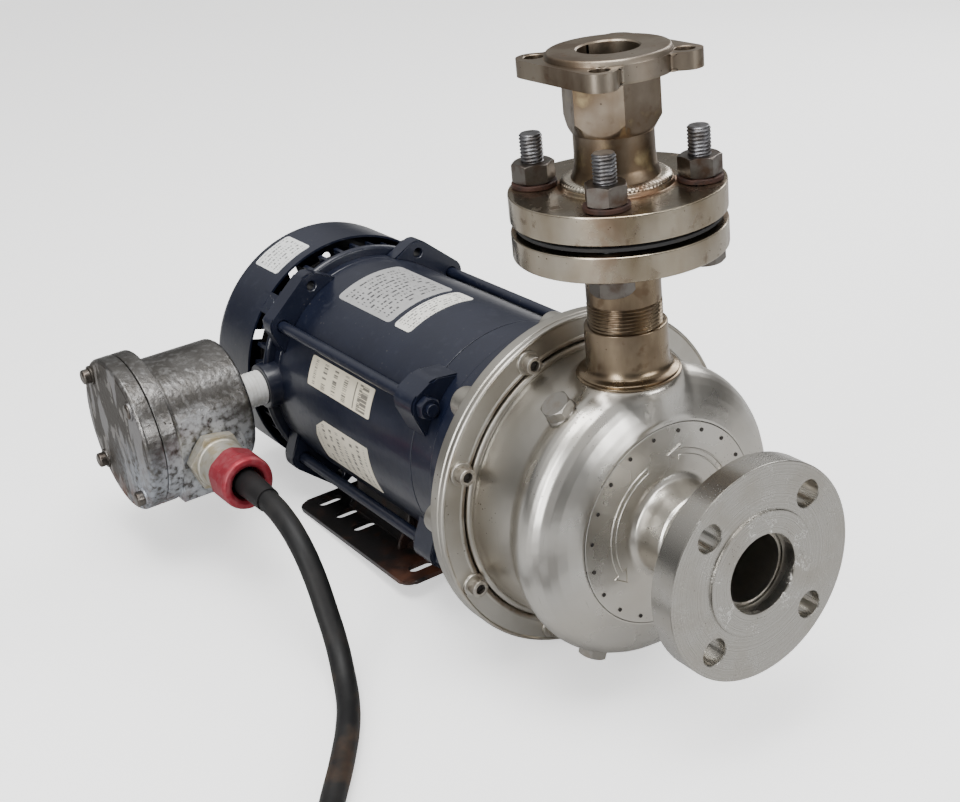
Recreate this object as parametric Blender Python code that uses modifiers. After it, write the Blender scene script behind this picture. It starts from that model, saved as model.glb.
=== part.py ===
"""Close-coupled centrifugal water pump on an enclosed foot-mounted motor.

Metres, +Z up. The shaft lies along Y, the suction flange faces -Y and the discharge flange faces +Z.
The origin is on the underside of the motor foot, below the shaft, in the row of the front bolt slots.
Every piece is placed from the shaft line: y = 0 there is the plane of the discharge pipe.
"""
import math

import bmesh
import bpy
from mathutils import Matrix, Vector

MM = 0.001
LARGE, SIDES, SMALL, TINY = 28, 16, 12, 8       # sides of the round pieces, by size
GAP = 0.3                      # clearance between pieces that touch, in millimetres

# Driving dimensions, in millimetres
SHAFT_HEIGHT = 88.9            # foot underside to shaft centre
BOLT_ROW_Y = 160.3             # discharge plane to the front row of foot slots
SUCTION_FACE_Y = -105.6
PLUG_Y = 3.0                   # vent and drain plugs, on the casing band
RING_R = 107.0                 # adapter ring, the pump's lowest point
RING_FRONT_Y, RING_REAR_Y = 45.8, 58.0
SHELL_R = 79.4                 # rolled motor shell
SHELL_FRONT_Y, SHELL_REAR_Y = 125.3, 305.8
ROD_R, ROD_PITCH_R, ROD_ANGLE = 4.0, 88.0, 36.2
FOOT_WIDTH, FOOT_FRONT_Y, FOOT_REAR_Y, FOOT_T = 166.0, 146.0, 300.0, 3.2
SHROUD_R, SHROUD_FRONT_Y, SHROUD_BACK_Y = 90.1, 333.0, 393.0
FLANGE_R, FLANGE_T, FLANGE_PITCH_R, FLANGE_HOLE_R = 58.75, 15.9, 44.45, 8.0
SUCTION_R, SUCTION_T, SUCTION_PITCH_R, SUCTION_HOLE_R = 63.5, 17.5, 49.2, 7.95
LOWER_FLANGE_Z, UPPER_FLANGE_Z = 176.7, 179.3          # the two raised faces
BOX_Y, BOX_Z = 316.0, 6.0      # junction box axis, along X
GLAND_X, GLAND_Z = -150.0, -12.0
CABLE_R = 7.3
COIL_X, COIL_Y, COIL_R, COIL_HALF = -245.0, -148.0, 81.0, 15.0

MATERIALS = {
    "navy_paint": ((0.020, 0.026, 0.058), 0.35, 0.0),
    "black_paint": ((0.012, 0.011, 0.010), 0.45, 0.0),
    "cast_stainless": ((0.52, 0.50, 0.46), 0.45, 1.0),
    "pressed_stainless": ((0.56, 0.55, 0.52), 0.32, 1.0),
    "machined_stainless": ((0.62, 0.60, 0.56), 0.28, 1.0),
    "heat_tinted_stainless": ((0.42, 0.33, 0.22), 0.32, 1.0),
    "zinc_steel": ((0.33, 0.33, 0.33), 0.45, 1.0),
    "zinc_casting": ((0.36, 0.35, 0.35), 0.55, 0.9),
    "steel": ((0.45, 0.45, 0.46), 0.35, 1.0),
    "lamination_steel": ((0.22, 0.22, 0.23), 0.5, 1.0),
    "copper": ((0.72, 0.32, 0.14), 0.35, 1.0),
    "fan_plastic": ((0.02, 0.02, 0.02), 0.5, 0.0),
    "thread_tape": ((0.80, 0.80, 0.78), 0.6, 0.0),
    "red_anodised": ((0.45, 0.035, 0.04), 0.3, 0.8),
    "carbon_black": ((0.03, 0.03, 0.032), 0.55, 0.0),
    "cable_rubber": ((0.015, 0.015, 0.016), 0.55, 0.0),
}


def clear_scene():
    for obj in list(bpy.data.objects):
        bpy.data.objects.remove(obj, do_unlink=True)


def make_material(name):
    colour, roughness, metallic = MATERIALS[name]
    material = bpy.data.materials.new(name)
    material.use_nodes = True
    shader = material.node_tree.nodes["Principled BSDF"]
    shader.inputs["Base Color"].default_value = (*colour, 1.0)
    shader.inputs["Roughness"].default_value = roughness
    shader.inputs["Metallic"].default_value = metallic
    return material


clear_scene()
PARTS = bpy.data.collections.new("centrifugal_water_pump")
TOOLS = bpy.data.collections.new("cutters")
for collection in (PARTS, TOOLS):
    bpy.context.scene.collection.children.link(collection)
PAINT = {name: make_material(name) for name in MATERIALS}


def make_empty(name, location, tilt=0.0):
    empty = bpy.data.objects.new(name, None)
    empty.location = location
    empty.rotation_euler = (tilt, 0.0, 0.0)
    PARTS.objects.link(empty)
    return empty


# The casing ring reaches lower than the foot, so on a flat floor the pump leans back onto the foot's rear edge.
FLOOR_SLOPE = (RING_R - SHAFT_HEIGHT) / (FOOT_REAR_Y - RING_REAR_Y)
SHAFT_LINE = make_empty("shaft_line", (0.0, -BOLT_ROW_Y * MM, SHAFT_HEIGHT * MM))
ROTOR_AXIS = make_empty("rotor_axis", (0.0, -BOLT_ROW_Y * MM, SHAFT_HEIGHT * MM))

# Rotations that turn a piece made along +Z onto another axis
ALONG_Z = Matrix.Identity(4)
ALONG_Y = Matrix.Rotation(-math.pi / 2, 4, "X")
ALONG_X = Matrix.Rotation(math.pi / 2, 4, "Y")


def place(obj, material, turn=ALONG_Z, at=(0, 0, 0), parent=SHAFT_LINE, cutter=False):
    """Links an object, in millimetres from the shaft line, as a part or as a cutter."""
    obj.matrix_local = Matrix.Translation(Vector(at) * MM) @ turn
    obj.parent = parent
    if cutter:
        TOOLS.objects.link(obj)
        obj.hide_render = True
        obj.display_type = "WIRE"
    else:
        PARTS.objects.link(obj)
        obj.data.materials.append(PAINT[material])
    return obj


def turned(name, profile, material=None, turn=ALONG_Y, at=(0, 0, 0), steps=SIDES, parent=SHAFT_LINE):
    """A solid of revolution from (radius, distance along the axis) points, as a profile with a Screw modifier."""
    area = sum(a[0] * b[1] - b[0] * a[1] for a, b in zip(profile, profile[1:] + profile[:1]))
    points = list(reversed(profile)) if area > 0 else list(profile)
    on_axis = [i for i, (radius, _) in enumerate(points) if radius == 0]
    if on_axis:                # the profile is open along the axis
        while not (points[0][0] == 0 and points[-1][0] == 0):
            points = points[1:] + points[:1]
    edges = [(i, i + 1) for i in range(len(points) - 1)]
    if not on_axis:
        edges.append((len(points) - 1, 0))
    mesh = bpy.data.meshes.new(name)
    mesh.from_pydata([(radius * MM, 0.0, along * MM) for radius, along in points], edges, [])
    obj = place(bpy.data.objects.new(name, mesh), material, turn, at, parent, cutter=material is None)
    screw = obj.modifiers.new("turn", "SCREW")
    screw.steps = screw.render_steps = steps
    screw.use_merge_vertices = True
    screw.merge_threshold = 1e-5
    screw.use_smooth_shade = False
    return obj


def cylinder(name, radius, low, high, material=None, turn=ALONG_Y, at=(0, 0, 0), steps=SMALL):
    return turned(name, [(0, low), (radius, low), (radius, high), (0, high)], material, turn, at, steps)


def extruded(name, outline, low, high, material=None, turn=ALONG_Z, at=(0, 0, 0), parent=SHAFT_LINE):
    """A flat outline in X and Y, raised from low to high along Z, then turned into place."""
    mesh = bpy.data.meshes.new(name)
    shape = bmesh.new()
    face = shape.faces.new([shape.verts.new((x * MM, y * MM, low * MM)) for x, y in outline])
    if face.normal.z > 0 or sum(a[0] * b[1] - b[0] * a[1] for a, b in
                                zip(outline, outline[1:] + outline[:1])) > 0:
        face.normal_flip()
    raised = bmesh.ops.extrude_face_region(shape, geom=[face])
    tops = [item for item in raised["geom"] if isinstance(item, bmesh.types.BMVert)]
    bmesh.ops.translate(shape, verts=tops, vec=(0, 0, (high - low) * MM))
    bmesh.ops.recalc_face_normals(shape, faces=shape.faces)
    shape.to_mesh(mesh)
    shape.free()
    return place(bpy.data.objects.new(name, mesh), material, turn, at, parent, cutter=material is None)


def combine(obj, tool, operation="DIFFERENCE"):
    modifier = obj.modifiers.new(operation.lower(), "BOOLEAN")
    modifier.operation = operation
    modifier.solver = "EXACT"
    modifier.object = tool
    return obj


def polygon(sides, across_flats, turn_deg=0.0):
    radius = across_flats / 2 / math.cos(math.pi / sides)
    angles = [math.radians(turn_deg) + 2 * math.pi * i / sides for i in range(sides)]
    return [(radius * math.cos(a), radius * math.sin(a)) for a in angles]


def arc(centre, radius, start_deg, end_deg, count):
    """Points on an arc, both ends included."""
    step = (end_deg - start_deg) / (count - 1)
    angles = [math.radians(start_deg + step * i) for i in range(count)]
    return [(centre[0] + radius * math.cos(a), centre[1] + radius * math.sin(a)) for a in angles]


def polar(radius, angle_deg):
    """X and Z of a point round the shaft; 0 degrees is +X and 90 is up."""
    angle = math.radians(angle_deg)
    return radius * math.cos(angle), radius * math.sin(angle)


def hole_ring(name, radius, low, high, pitch_r, angles, turn, at=(0, 0, 0), steps=TINY):
    """Cutters for a ring of holes along an axis."""
    cutters = []
    for index, angle in enumerate(angles):
        u, v = polar(pitch_r, angle)
        offset = turn @ Vector((u, v, 0.0))
        spot = Vector(at) + offset
        cutters.append(cylinder(f"{name}_{index + 1}", radius, low, high, None, turn, spot, steps))
    return cutters


def corner_angles():
    return [ROD_ANGLE, 180 - ROD_ANGLE, 180 + ROD_ANGLE, -ROD_ANGLE]


# ---------------------------------------------------------------- motor frame

def bell_ear(name, spots, low, high, inner_r=76.5, ear_r=9.5):
    """An ear that carries a through bolt, as the outline round one or two bolt centres and a root in the bell."""
    count = 4
    centres = [polar(radius, angle) for radius, angle in spots]
    angles = [angle for _, angle in spots]
    first, last = min(angles), max(angles)
    outline = []
    for (cx, cz), (radius, angle) in zip(centres, spots):
        lean_low = angle - (62 if angle == first else 8)
        lean_high = angle + (62 if angle == last else 8)
        outline += arc((cx, cz), ear_r, lean_low, lean_high, count)
    outline += arc((0, 0), inner_r, last + 17, first - 17, count)
    # the outline is drawn in X and Z, so it is mirrored by the turn onto Y
    return extruded(name, [(x, -z) for x, z in outline], low, high, None, ALONG_Y)


def shell_cutter(name, low, high):
    return cylinder(name, SHELL_R + GAP, low, high, steps=LARGE)


def make_stator_shell():
    turned("stator_shell", [(SHELL_R, SHELL_FRONT_Y), (SHELL_R, SHELL_REAR_Y),
                            (SHELL_R - 2.6, SHELL_REAR_Y), (SHELL_R - 2.6, SHELL_FRONT_Y)],
           "navy_paint", steps=LARGE)


def make_front_bell():
    seam = SHELL_FRONT_Y - GAP
    bell = turned("front_end_bell", [
        (SHELL_R, seam), (SHELL_R, 100), (82.5, 98), (82.5, 78), (57.0, 78), (57.0, 73), (30, 73), (28, 80),
        (9.5, 80), (9.5, 84.5), (20.3, 84.5), (20.3, 98), (26, 98), (30, 88), (70, 91), (74, 100), (74, seam)],
        "navy_paint", steps=LARGE)
    for index, angle in enumerate(corner_angles()):
        side = 7 if 0 < angle < 90 or 180 < angle < 270 else -7
        spots = sorted([(ROD_PITCH_R, angle), (84.0, angle + side)], key=lambda spot: spot[1])
        combine(bell, bell_ear(f"front_ear_{index + 1}", spots, 111, 134), "UNION")
    combine(bell, shell_cutter("front_shell_space", seam, 140))
    for hole in hole_ring("front_rod_hole", ROD_R + GAP, 105, 140, ROD_PITCH_R,
                          [-angle for angle in corner_angles()], ALONG_Y):
        combine(bell, hole)


def make_rear_bell():
    seam = SHELL_REAR_Y + GAP
    bell = turned("rear_end_bell", [
        (SHELL_R, seam), (SHELL_R, 319), (70, 325), (36, 331), (30, 337), (9.5, 337), (9.5, 331.5),
        (20.3, 331.5), (20.3, 317.5), (26, 317.5), (30, 324), (66, 317), (73, 312), (73, seam)],
        "navy_paint", steps=LARGE)
    for index, angle in enumerate(corner_angles()):
        side = 23 if 0 < angle < 90 or 180 < angle < 270 else -23
        spots = sorted([(ROD_PITCH_R, angle), (87.0, angle + side)], key=lambda spot: spot[1])
        combine(bell, bell_ear(f"rear_ear_{index + 1}", spots, 299, 312.7), "UNION")
    combine(bell, cylinder("conduit_boss", 16.5, -88, -70, None, ALONG_X, (0, BOX_Y, BOX_Z)), "UNION")
    combine(bell, shell_cutter("rear_shell_space", 280, seam - 0.05))
    combine(bell, cylinder("conduit_entry", 11, -90, -62, None, ALONG_X, (0, BOX_Y, BOX_Z)))
    for hole in hole_ring("rear_rod_hole", ROD_R + GAP, 290, 322, ROD_PITCH_R,
                          [-angle for angle in corner_angles()], ALONG_Y):
        combine(bell, hole)


def make_through_bolts():
    for index, angle in enumerate(corner_angles()):
        x, z = polar(ROD_PITCH_R, angle)
        name = f"through_bolt_{index + 1}"
        bolt = cylinder(name, ROD_R, 101, 315, "navy_paint", ALONG_Y, (x, 0, z), TINY)
        for end, low, high in (("nut", 104.5, 110.7), ("head", 313.0, 318)):
            shape = extruded(f"{name}_{end}", polygon(6, 13), low, high, None, ALONG_Y, (x, 0, z))
            combine(bolt, shape, "UNION")


def make_fan_cover():
    wall = 1.6
    back = SHROUD_BACK_Y
    corner = [(x, y) for x, y in arc((SHROUD_R - 14, back - 14), 14, 0, 90, 3)]
    inner = [(x, y) for x, y in arc((SHROUD_R - 14, back - 14), 14 - wall, 90, 0, 3)]
    profile = [(SHROUD_R, SHROUD_FRONT_Y)] + corner + [(18, back), (18, back - wall)] + inner
    profile += [(SHROUD_R - wall, SHROUD_FRONT_Y)]
    cover = turned("fan_cover", profile, "navy_paint", steps=LARGE)
    slots = 12
    for index in range(slots):
        angle = 360 / slots * (index + 0.5)
        outline = [(27, -4), (64, -4), (64, 4), (27, 4)]
        turn = ALONG_Y @ Matrix.Rotation(math.radians(angle), 4, "Z")
        combine(cover, extruded(f"intake_slot_{index + 1}", outline, back - 6, back + 6, None, turn))
    for index, angle in enumerate((47.5, 132.5, 227.5, 312.5)):
        outline = [(SHROUD_R - wall, -8), (SHROUD_R - 0.1, -8), (SHROUD_R - 0.1, 8), (SHROUD_R - wall, 8)]
        turn = ALONG_Y @ Matrix.Rotation(math.radians(-angle), 4, "Z")
        tab = extruded(f"cover_tab_{index + 1}", outline, 320, SHROUD_FRONT_Y + 6, None, turn)
        combine(cover, tab, "UNION")


def make_foot_base():
    half, top = FOOT_WIDTH / 2, -SHAFT_HEIGHT + FOOT_T
    corner = 9
    outline = []
    for cx, cy, start in ((half - corner, FOOT_REAR_Y - corner, 0), (corner - half, FOOT_REAR_Y - corner, 90),
                          (corner - half, FOOT_FRONT_Y + corner, 180), (half - corner, FOOT_FRONT_Y + corner, 270)):
        outline += arc((cx, cy), corner, start, start + 90, 4)
    base = extruded("foot_base", outline, -SHAFT_HEIGHT, top, "black_paint")
    for side in (-1, 1):
        saddle = [(side * 40, -84), (side * 54, -84), (side * 54, -81), (side * 47, -78), (side * 45.5, -68),
                  (side * 41.5, -68.5), (side * 43, -79)]
        mount = extruded(f"saddle_{side}", [(x, -z) for x, z in saddle], 178, 268, None, ALONG_Y)
        skirt = extruded(f"skirt_{side}", [(side * 40, 175), (side * 56, 175), (side * 56, 271), (side * 40, 271)],
                         top - 1, -83.5)
        combine(base, skirt, "UNION")
        combine(base, mount, "UNION")
        for row in (BOLT_ROW_Y, BOLT_ROW_Y + 76.2, BOLT_ROW_Y + 101.6, BOLT_ROW_Y + 127.0):
            long, wide = 9.5, 4.35
            slot = arc((side * 62 + long - wide, row), wide, -90, 90, 5)
            slot += arc((side * 62 - long + wide, row), wide, 90, 270, 5)
            combine(base, extruded(f"slot_{side}_{row:.0f}", slot, -95, top + 0.6))


# ---------------------------------------------------------------- stator, rotor and bearings

def make_stator():
    turned("stator_core", [(76.0, 165), (76.0, 265), (61.0, 265), (61.0, 165)], "lamination_steel")
    turned("stator_winding", [(59.5, 164.6), (70, 164), (71, 150), (66, 144), (50, 144), (46.8, 150),
                              (46.8, 280), (50, 286), (66, 286), (71, 280), (70, 266), (59.5, 265.4)], "copper")


def make_rotor():
    turned("shaft", [(0, -9.5), (7.7, -9.5), (7.7, 84), (8.4, 84), (8.4, 98), (12, 98), (12, 317), (8.4, 317),
                     (8.4, 332), (7.7, 332), (7.7, 372), (0, 372)], "steel", steps=SMALL, parent=ROTOR_AXIS)
    turned("rotor_core", [(45.2, 165), (45.2, 265), (12.3, 265), (12.3, 165)], "lamination_steel",
           parent=ROTOR_AXIS)


def make_bearing(name, low, high):
    middle = (low + high) / 2
    turned(f"{name}_bearing_outer", [(20, low), (20, high), (16.6, high), (16.6, low)], "steel", steps=SIDES)
    turned(f"{name}_bearing_inner", [(11.8, low), (11.8, high), (8.7, high), (8.7, low)], "steel", steps=SMALL,
           parent=ROTOR_AXIS)
    cage = turned(f"{name}_ball_cage", [(14.6, middle - 2.6), (14.6, middle + 2.6), (13.6, middle + 2.6),
                                        (13.6, middle - 2.6)], "steel", steps=SMALL, parent=ROTOR_AXIS)
    balls = 6
    for index in range(balls):
        x, z = polar(14.2, 360 / balls * index)
        mesh = bpy.data.meshes.new(f"{name}_ball_{index + 1}")
        ball = bmesh.new()
        bmesh.ops.create_uvsphere(ball, u_segments=5, v_segments=4, radius=2.1 * MM)
        ball.to_mesh(mesh)
        ball.free()
        sphere = place(bpy.data.objects.new(mesh.name, mesh), None, ALONG_Z, (x, middle, z), ROTOR_AXIS, True)
        combine(cage, sphere, "UNION")


def make_cooling_fan():
    fan = turned("cooling_fan", [(18, 341), (76, 341), (76, 343.4), (18, 343.4), (18, 368), (8.0, 368),
                                 (8.0, 341)], "fan_plastic", steps=SIDES, parent=ROTOR_AXIS)
    blades = 10
    for index in range(blades):
        outline = [(16, -1.2), (74, -1.2), (74, 1.2), (16, 1.2)]
        turn = ALONG_Y @ Matrix.Rotation(2 * math.pi * index / blades, 4, "Z")
        combine(fan, extruded(f"fan_blade_{index + 1}", outline, 342, 366, None, turn, parent=ROTOR_AXIS), "UNION")


# ---------------------------------------------------------------- pump end

def make_motor_adapter():
    adapter = turned("motor_adapter", [
        (RING_R, RING_FRONT_Y), (RING_R, RING_REAR_Y), (94, 62), (86, 68), (84.5, 77.7), (57.4, 77.7), (57.4, 66),
        (86.0, 57), (86.0, 51.6), (90.4, 51.6), (90.4, RING_FRONT_Y)], "cast_stainless", steps=LARGE)
    for index in range(8):
        x, z = polar(93.0, 45 * index)
        boss = cylinder(f"adapter_boss_{index + 1}", 10.5, 54, 74, None, ALONG_Y, (x, 0, z), TINY)
        combine(adapter, boss, "UNION")
    for hole in hole_ring("screw_hole", 3.3, 40, 57, 97.0, [22.5 + 45 * i for i in range(8)], ALONG_Y):
        combine(adapter, hole)


def make_casing_screws():
    for index in range(8):
        x, z = polar(97.0, 22.5 + 45 * index)
        turned(f"casing_screw_{index + 1}", [
            (0, 53), (3.0, 53), (3.0, 45.4), (5.2, 45.4), (5.2, 38.9), (4.6, 38.3), (2.6, 38.3), (2.6, 42),
            (0, 42)], "steel", ALONG_Y, (x, 0, z), TINY)


CASING_OUTER = [(90.0, 51.3), (90.0, 45.0), (88.2, 44.2), (86.4, 45.0), (85.6, 38), (84.6, 9), (88.4, 0),
                (89.8, -5), (89.0, -11), (85.0, -18), (75, -25.3), (61.9, -29.6)]
CASING_INNER = [(61.9, -27.0), (73.5, -22.9), (82.6, -16.4), (86.4, -10.2), (87.2, -5.4), (85.9, -1.6),
                (82.1, 9), (83.1, 38), (83.6, 51.3)]
BOSS_OUTER = [(46, 52), (42, 66), (36, 76), (30.5, 82), (27.6, 86), (27.2, 91.5), (23.6, 93.5), (23.4, 117)]


def make_casing():
    casing = turned("casing", CASING_OUTER + CASING_INNER, "pressed_stainless", steps=LARGE)
    boss = turned("discharge_boss", [(0, 52)] + BOSS_OUTER + [(0, 117)], None, ALONG_Z)
    combine(casing, boss, "UNION")
    hollow = [(radius - 0.1, along + 0.03) for radius, along in CASING_INNER[:-2]]
    hollow += [(82.0, 50), (0, 50), (0, -40), (CASING_INNER[0][0] - 0.1, -40)]
    combine(casing, turned("casing_space", hollow, steps=LARGE))
    combine(casing, cylinder("discharge_port", 17.6, 40, 120, None, ALONG_Z, steps=SIDES))
    combine(casing, cylinder("nipple_socket", 21.4, 103, 120, None, ALONG_Z, steps=SIDES))
    for name, angle in (("vent", 121.5), ("drain", -114.0)):
        combine(casing, cylinder(f"{name}_hole", 4.3, 78, 93, None, radial_turn(angle), (0, PLUG_Y, 0), TINY))


def radial_turn(angle_deg):
    """Turns +Z to point away from the shaft at an angle from +X."""
    return Matrix.Rotation(math.radians(90 - angle_deg), 4, "Y")


def make_plugs():
    for name, angle in (("vent_plug", 121.5), ("drain_plug", -114.0)):
        turn = radial_turn(angle)
        plug = cylinder(name, 4.0, 79, 91, "cast_stainless", turn, (0, PLUG_Y, 0), TINY)
        head = extruded(f"{name}_head", polygon(6, 16.5, 12), 90.2, 96.8, None, turn, (0, PLUG_Y, 0))
        combine(plug, head, "UNION")


def make_suction_cover():
    turned("suction_cover", [
        (61.5, -30.4), (61.5, -27.4), (20.5, -27.4), (20.5, -96), (24.0, -96), (24.0, -53), (26.4, -52),
        (26.4, -38), (28.2, -34), (34, -30.4)], "pressed_stainless")


def make_seal():
    turned("seal_plate", [(82.8, 51.2), (82.8, 48), (40, 47), (24, 42), (16.8, 42), (16.8, 51.2), (12, 51.2),
                          (12, 54), (30, 54), (40, 51.2)], "pressed_stainless")
    turned("seal_seat", [(16.5, 42.3), (16.5, 50.9), (9.2, 50.9), (9.2, 42.3)], "carbon_black", steps=SMALL)
    turned("seal_rotary", [(13.5, 24.6), (15.5, 28), (15.5, 42), (8.0, 42), (8.0, 24.6)], "steel", steps=SMALL,
           parent=ROTOR_AXIS)


def make_impeller():
    impeller = turned("impeller", [(8.0, -0.2), (14, -0.2), (17, 10), (30, 14), (74, 15), (74, 18), (20, 18),
                                   (15, 24.3), (8.0, 24.3)], "cast_stainless", steps=SIDES, parent=ROTOR_AXIS)
    shroud = turned("front_shroud", [(74, 5), (74, 7.6), (40, 1.0), (25.5, -10), (25.5, -22), (22.5, -22),
                                     (22.5, -9), (38, -1.4)], None, ALONG_Y, steps=SIDES, parent=ROTOR_AXIS)
    vanes = 6
    for index in range(vanes):
        centre_line = [(20 + 52 * t, math.radians(60 * index - 75 * t)) for t in (0, 0.25, 0.5, 0.75, 1)]
        half = 1.3
        outline = []
        for sign in (1, -1):
            side = [(r * math.cos(a) - sign * half * math.sin(a), r * math.sin(a) + sign * half * math.cos(a))
                    for r, a in centre_line]
            outline += side if sign > 0 else list(reversed(side))
        vane = extruded(f"vane_{index + 1}", outline, 6.2, 16, None, ALONG_Y, parent=ROTOR_AXIS)
        combine(impeller, vane, "UNION")
    combine(impeller, shroud, "UNION")
    nut = extruded("impeller_nut", polygon(6, 19), -9, -0.6, "steel", ALONG_Y, parent=ROTOR_AXIS)
    combine(nut, cylinder("nut_thread", 8.0, -12, 2, steps=SMALL))


# ---------------------------------------------------------------- pipework

def make_suction_flange():
    face, back = SUCTION_FACE_Y, SUCTION_FACE_Y + SUCTION_T
    flange = turned("suction_flange", [
        (36.5, face), (36.5, face + 1.6), (SUCTION_R, face + 1.6), (SUCTION_R, back), (33.5, back),
        (32.5, back + 4.9), (24.3, back + 4.9), (24.3, -96.3), (23.2, -96.3), (23.2, face)],
        "machined_stainless", steps=LARGE)
    for hole in hole_ring("suction_bolt_hole", SUCTION_HOLE_R, face - 5, back + 5, SUCTION_PITCH_R,
                          (45, 135, 225, 315), ALONG_Y, steps=SMALL):
        combine(flange, hole)


def make_discharge_pipe():
    turned("discharge_nipple", [(21.1, 103.3), (21.1, 170), (17.5, 170), (17.5, 103.3)], "heat_tinted_stainless",
           ALONG_Z, steps=SIDES)
    low, high = LOWER_FLANGE_Z - FLANGE_T, LOWER_FLANGE_Z
    lower = turned("lower_flange", [
        (31.75, high), (31.75, high - 1.6), (FLANGE_R, high - 1.6), (FLANGE_R, low), (29.5, low),
        (29, low - 4.7), (21.4, low - 4.7), (21.4, 170.3), (17.5, 170.3), (17.5, high)], "heat_tinted_stainless", ALONG_Z, steps=LARGE)
    face, top = UPPER_FLANGE_Z, UPPER_FLANGE_Z + 17.3
    upper = turned("upper_flange", [
        (31.75, face), (31.75, face + 1.6), (FLANGE_R, face + 1.6), (FLANGE_R, top), (30, top),
        (29, top + 4.2), (22.4, top + 4.2), (22.4, 186.3), (16.4, 186.3), (16.4, face)], "heat_tinted_stainless", ALONG_Z, steps=LARGE)
    for name, flange in (("lower", lower), ("upper", upper)):
        for hole in hole_ring(f"{name}_bolt_hole", FLANGE_HOLE_R, 150, 205, FLANGE_PITCH_R,
                              (45, 135, 225, 315), ALONG_Z):
            combine(flange, hole)
    gasket = turned("flange_gasket", [(56, high + GAP), (56, face - GAP), (18, face - GAP), (18, high + GAP)],
                    "carbon_black", ALONG_Z, steps=SIDES)
    for angle in (45, 135, 225, 315):
        spot = (*polar(FLANGE_PITCH_R, angle), 0)
        combine(gasket, cylinder(f"gasket_hole_{angle}", 7.2, high - 1, face + 1, None, ALONG_Z, spot, TINY))


def make_flange_studs():
    low, top = LOWER_FLANGE_Z - FLANGE_T - GAP, UPPER_FLANGE_Z + 17.3 + GAP
    for index, angle in enumerate((45, 135, 225, 315)):
        x, y = polar(FLANGE_PITCH_R, angle)
        name = f"flange_stud_{index + 1}"
        stud = turned(name, [(0, low - 9), (6.35, low - 9), (6.35, top + 27.5), (5.6, top + 29), (0, top + 29)],
                      "zinc_steel", ALONG_Z, (x, y, 0), TINY)
        washer = cylinder(f"{name}_washer", 12.5, top, top + 2.6, None, ALONG_Z, (x, y, 0), SMALL)
        nut = extruded(f"{name}_nut", polygon(6, 20.6, 8 + 25 * index), top + 2.4, top + 13.4, None, ALONG_Z,
                       (x, y, 0))
        head = extruded(f"{name}_head", polygon(6, 20.6, 20), low - 9.5, low, None, ALONG_Z, (x, y, 0))
        for tool in (washer, nut, head):
            combine(stud, tool, "UNION")


def make_valve_end_piece():
    base, top = 186.6, 266.0
    piece = turned("valve_end_piece", [
        (22.0, base), (22.0, 227), (23.2, 232), (23.2, 256), (34, 256.5), (34, top), (32.4, top + 3),
        (0, top + 3), (0, base)], "heat_tinted_stainless", ALONG_Z)
    combine(piece, extruded("wrench_flats", polygon(6, 46.6, 6), 231, 257.2, None, ALONG_Z), "UNION")
    half_x, half_y = polar(39, 45)[0] + 9.8, polar(39, 45)[1]
    sides = extruded("valve_plate_sides", [(half_x, half_y), (-half_x, half_y), (-half_x, -half_y), (half_x, -half_y)],
                     top - 9.5, top, None, ALONG_Z)
    combine(piece, sides, "UNION")
    for index in range(4):
        angle = 45 + 90 * index
        x, y = polar(39, angle)
        tips = arc((x, y), 9.8, angle - 78, angle + 78, 8)
        root = [polar(30, angle + 42), polar(30, angle - 42)]
        ear = extruded(f"valve_ear_{index + 1}", tips + root, top - 9.5, top, None, ALONG_Z)
        combine(piece, ear, "UNION")
        combine(piece, cylinder(f"valve_ear_hole_{index + 1}", 5.4, top - 15, top + 8, None, ALONG_Z, (x, y, 0),
                                TINY))
    combine(piece, cylinder("end_bore", 16.4, 180, 280, None, ALONG_Z, steps=SIDES))


# ---------------------------------------------------------------- junction box and cable

def make_junction_box():
    centre = (0, BOX_Y, BOX_Z)
    turned("box_nipple", [(12.6, -88.3), (12.6, -114.7), (9.5, -114.7), (9.5, -88.3)], "thread_tape", ALONG_X,
           centre, SMALL)
    body = turned("box_body", [
        (12, -115), (44, -115), (45, -117), (45, -172.5), (54.3, -174.5), (54.3, -186), (40.5, -186), (40.5, -119),
        (12, -119)], "zinc_casting", ALONG_X, centre)
    hub = turned("gland_hub", [(0, 300), (21, 300), (21, 271), (0, 271)], None, ALONG_Y, (GLAND_X, 0, GLAND_Z), SMALL)
    combine(body, hub, "UNION")
    combine(body, cylinder("box_space", 40.4, -185, -119.5, None, ALONG_X, centre, SIDES))
    combine(body, cylinder("gland_entry", 10, 260, 305, None, ALONG_Y, (GLAND_X, 0, GLAND_Z), SMALL))
    cover = turned("box_cover", [(0, -186.3), (54.3, -186.3), (54.3, -197), (52.8, -198.5), (0, -198.5)],
                   "zinc_casting", ALONG_X, centre)
    for index in range(4):
        angle = 50 + 90 * index
        u, v = polar(47, angle)
        spot = (0, BOX_Y + u, BOX_Z + v)
        combine(cover, cylinder(f"cover_hole_{index + 1}", 3.3, -202, -182, None, ALONG_X, spot, TINY))
        screw = cylinder(f"cover_screw_{index + 1}", 3.0, -199.2, -186.6, "zinc_steel", ALONG_X, spot, TINY)
        head = cylinder(f"cover_screw_head_{index + 1}", 5.2, -205.0, -198.8, None, ALONG_X, spot, TINY)
        combine(screw, head, "UNION")


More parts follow.
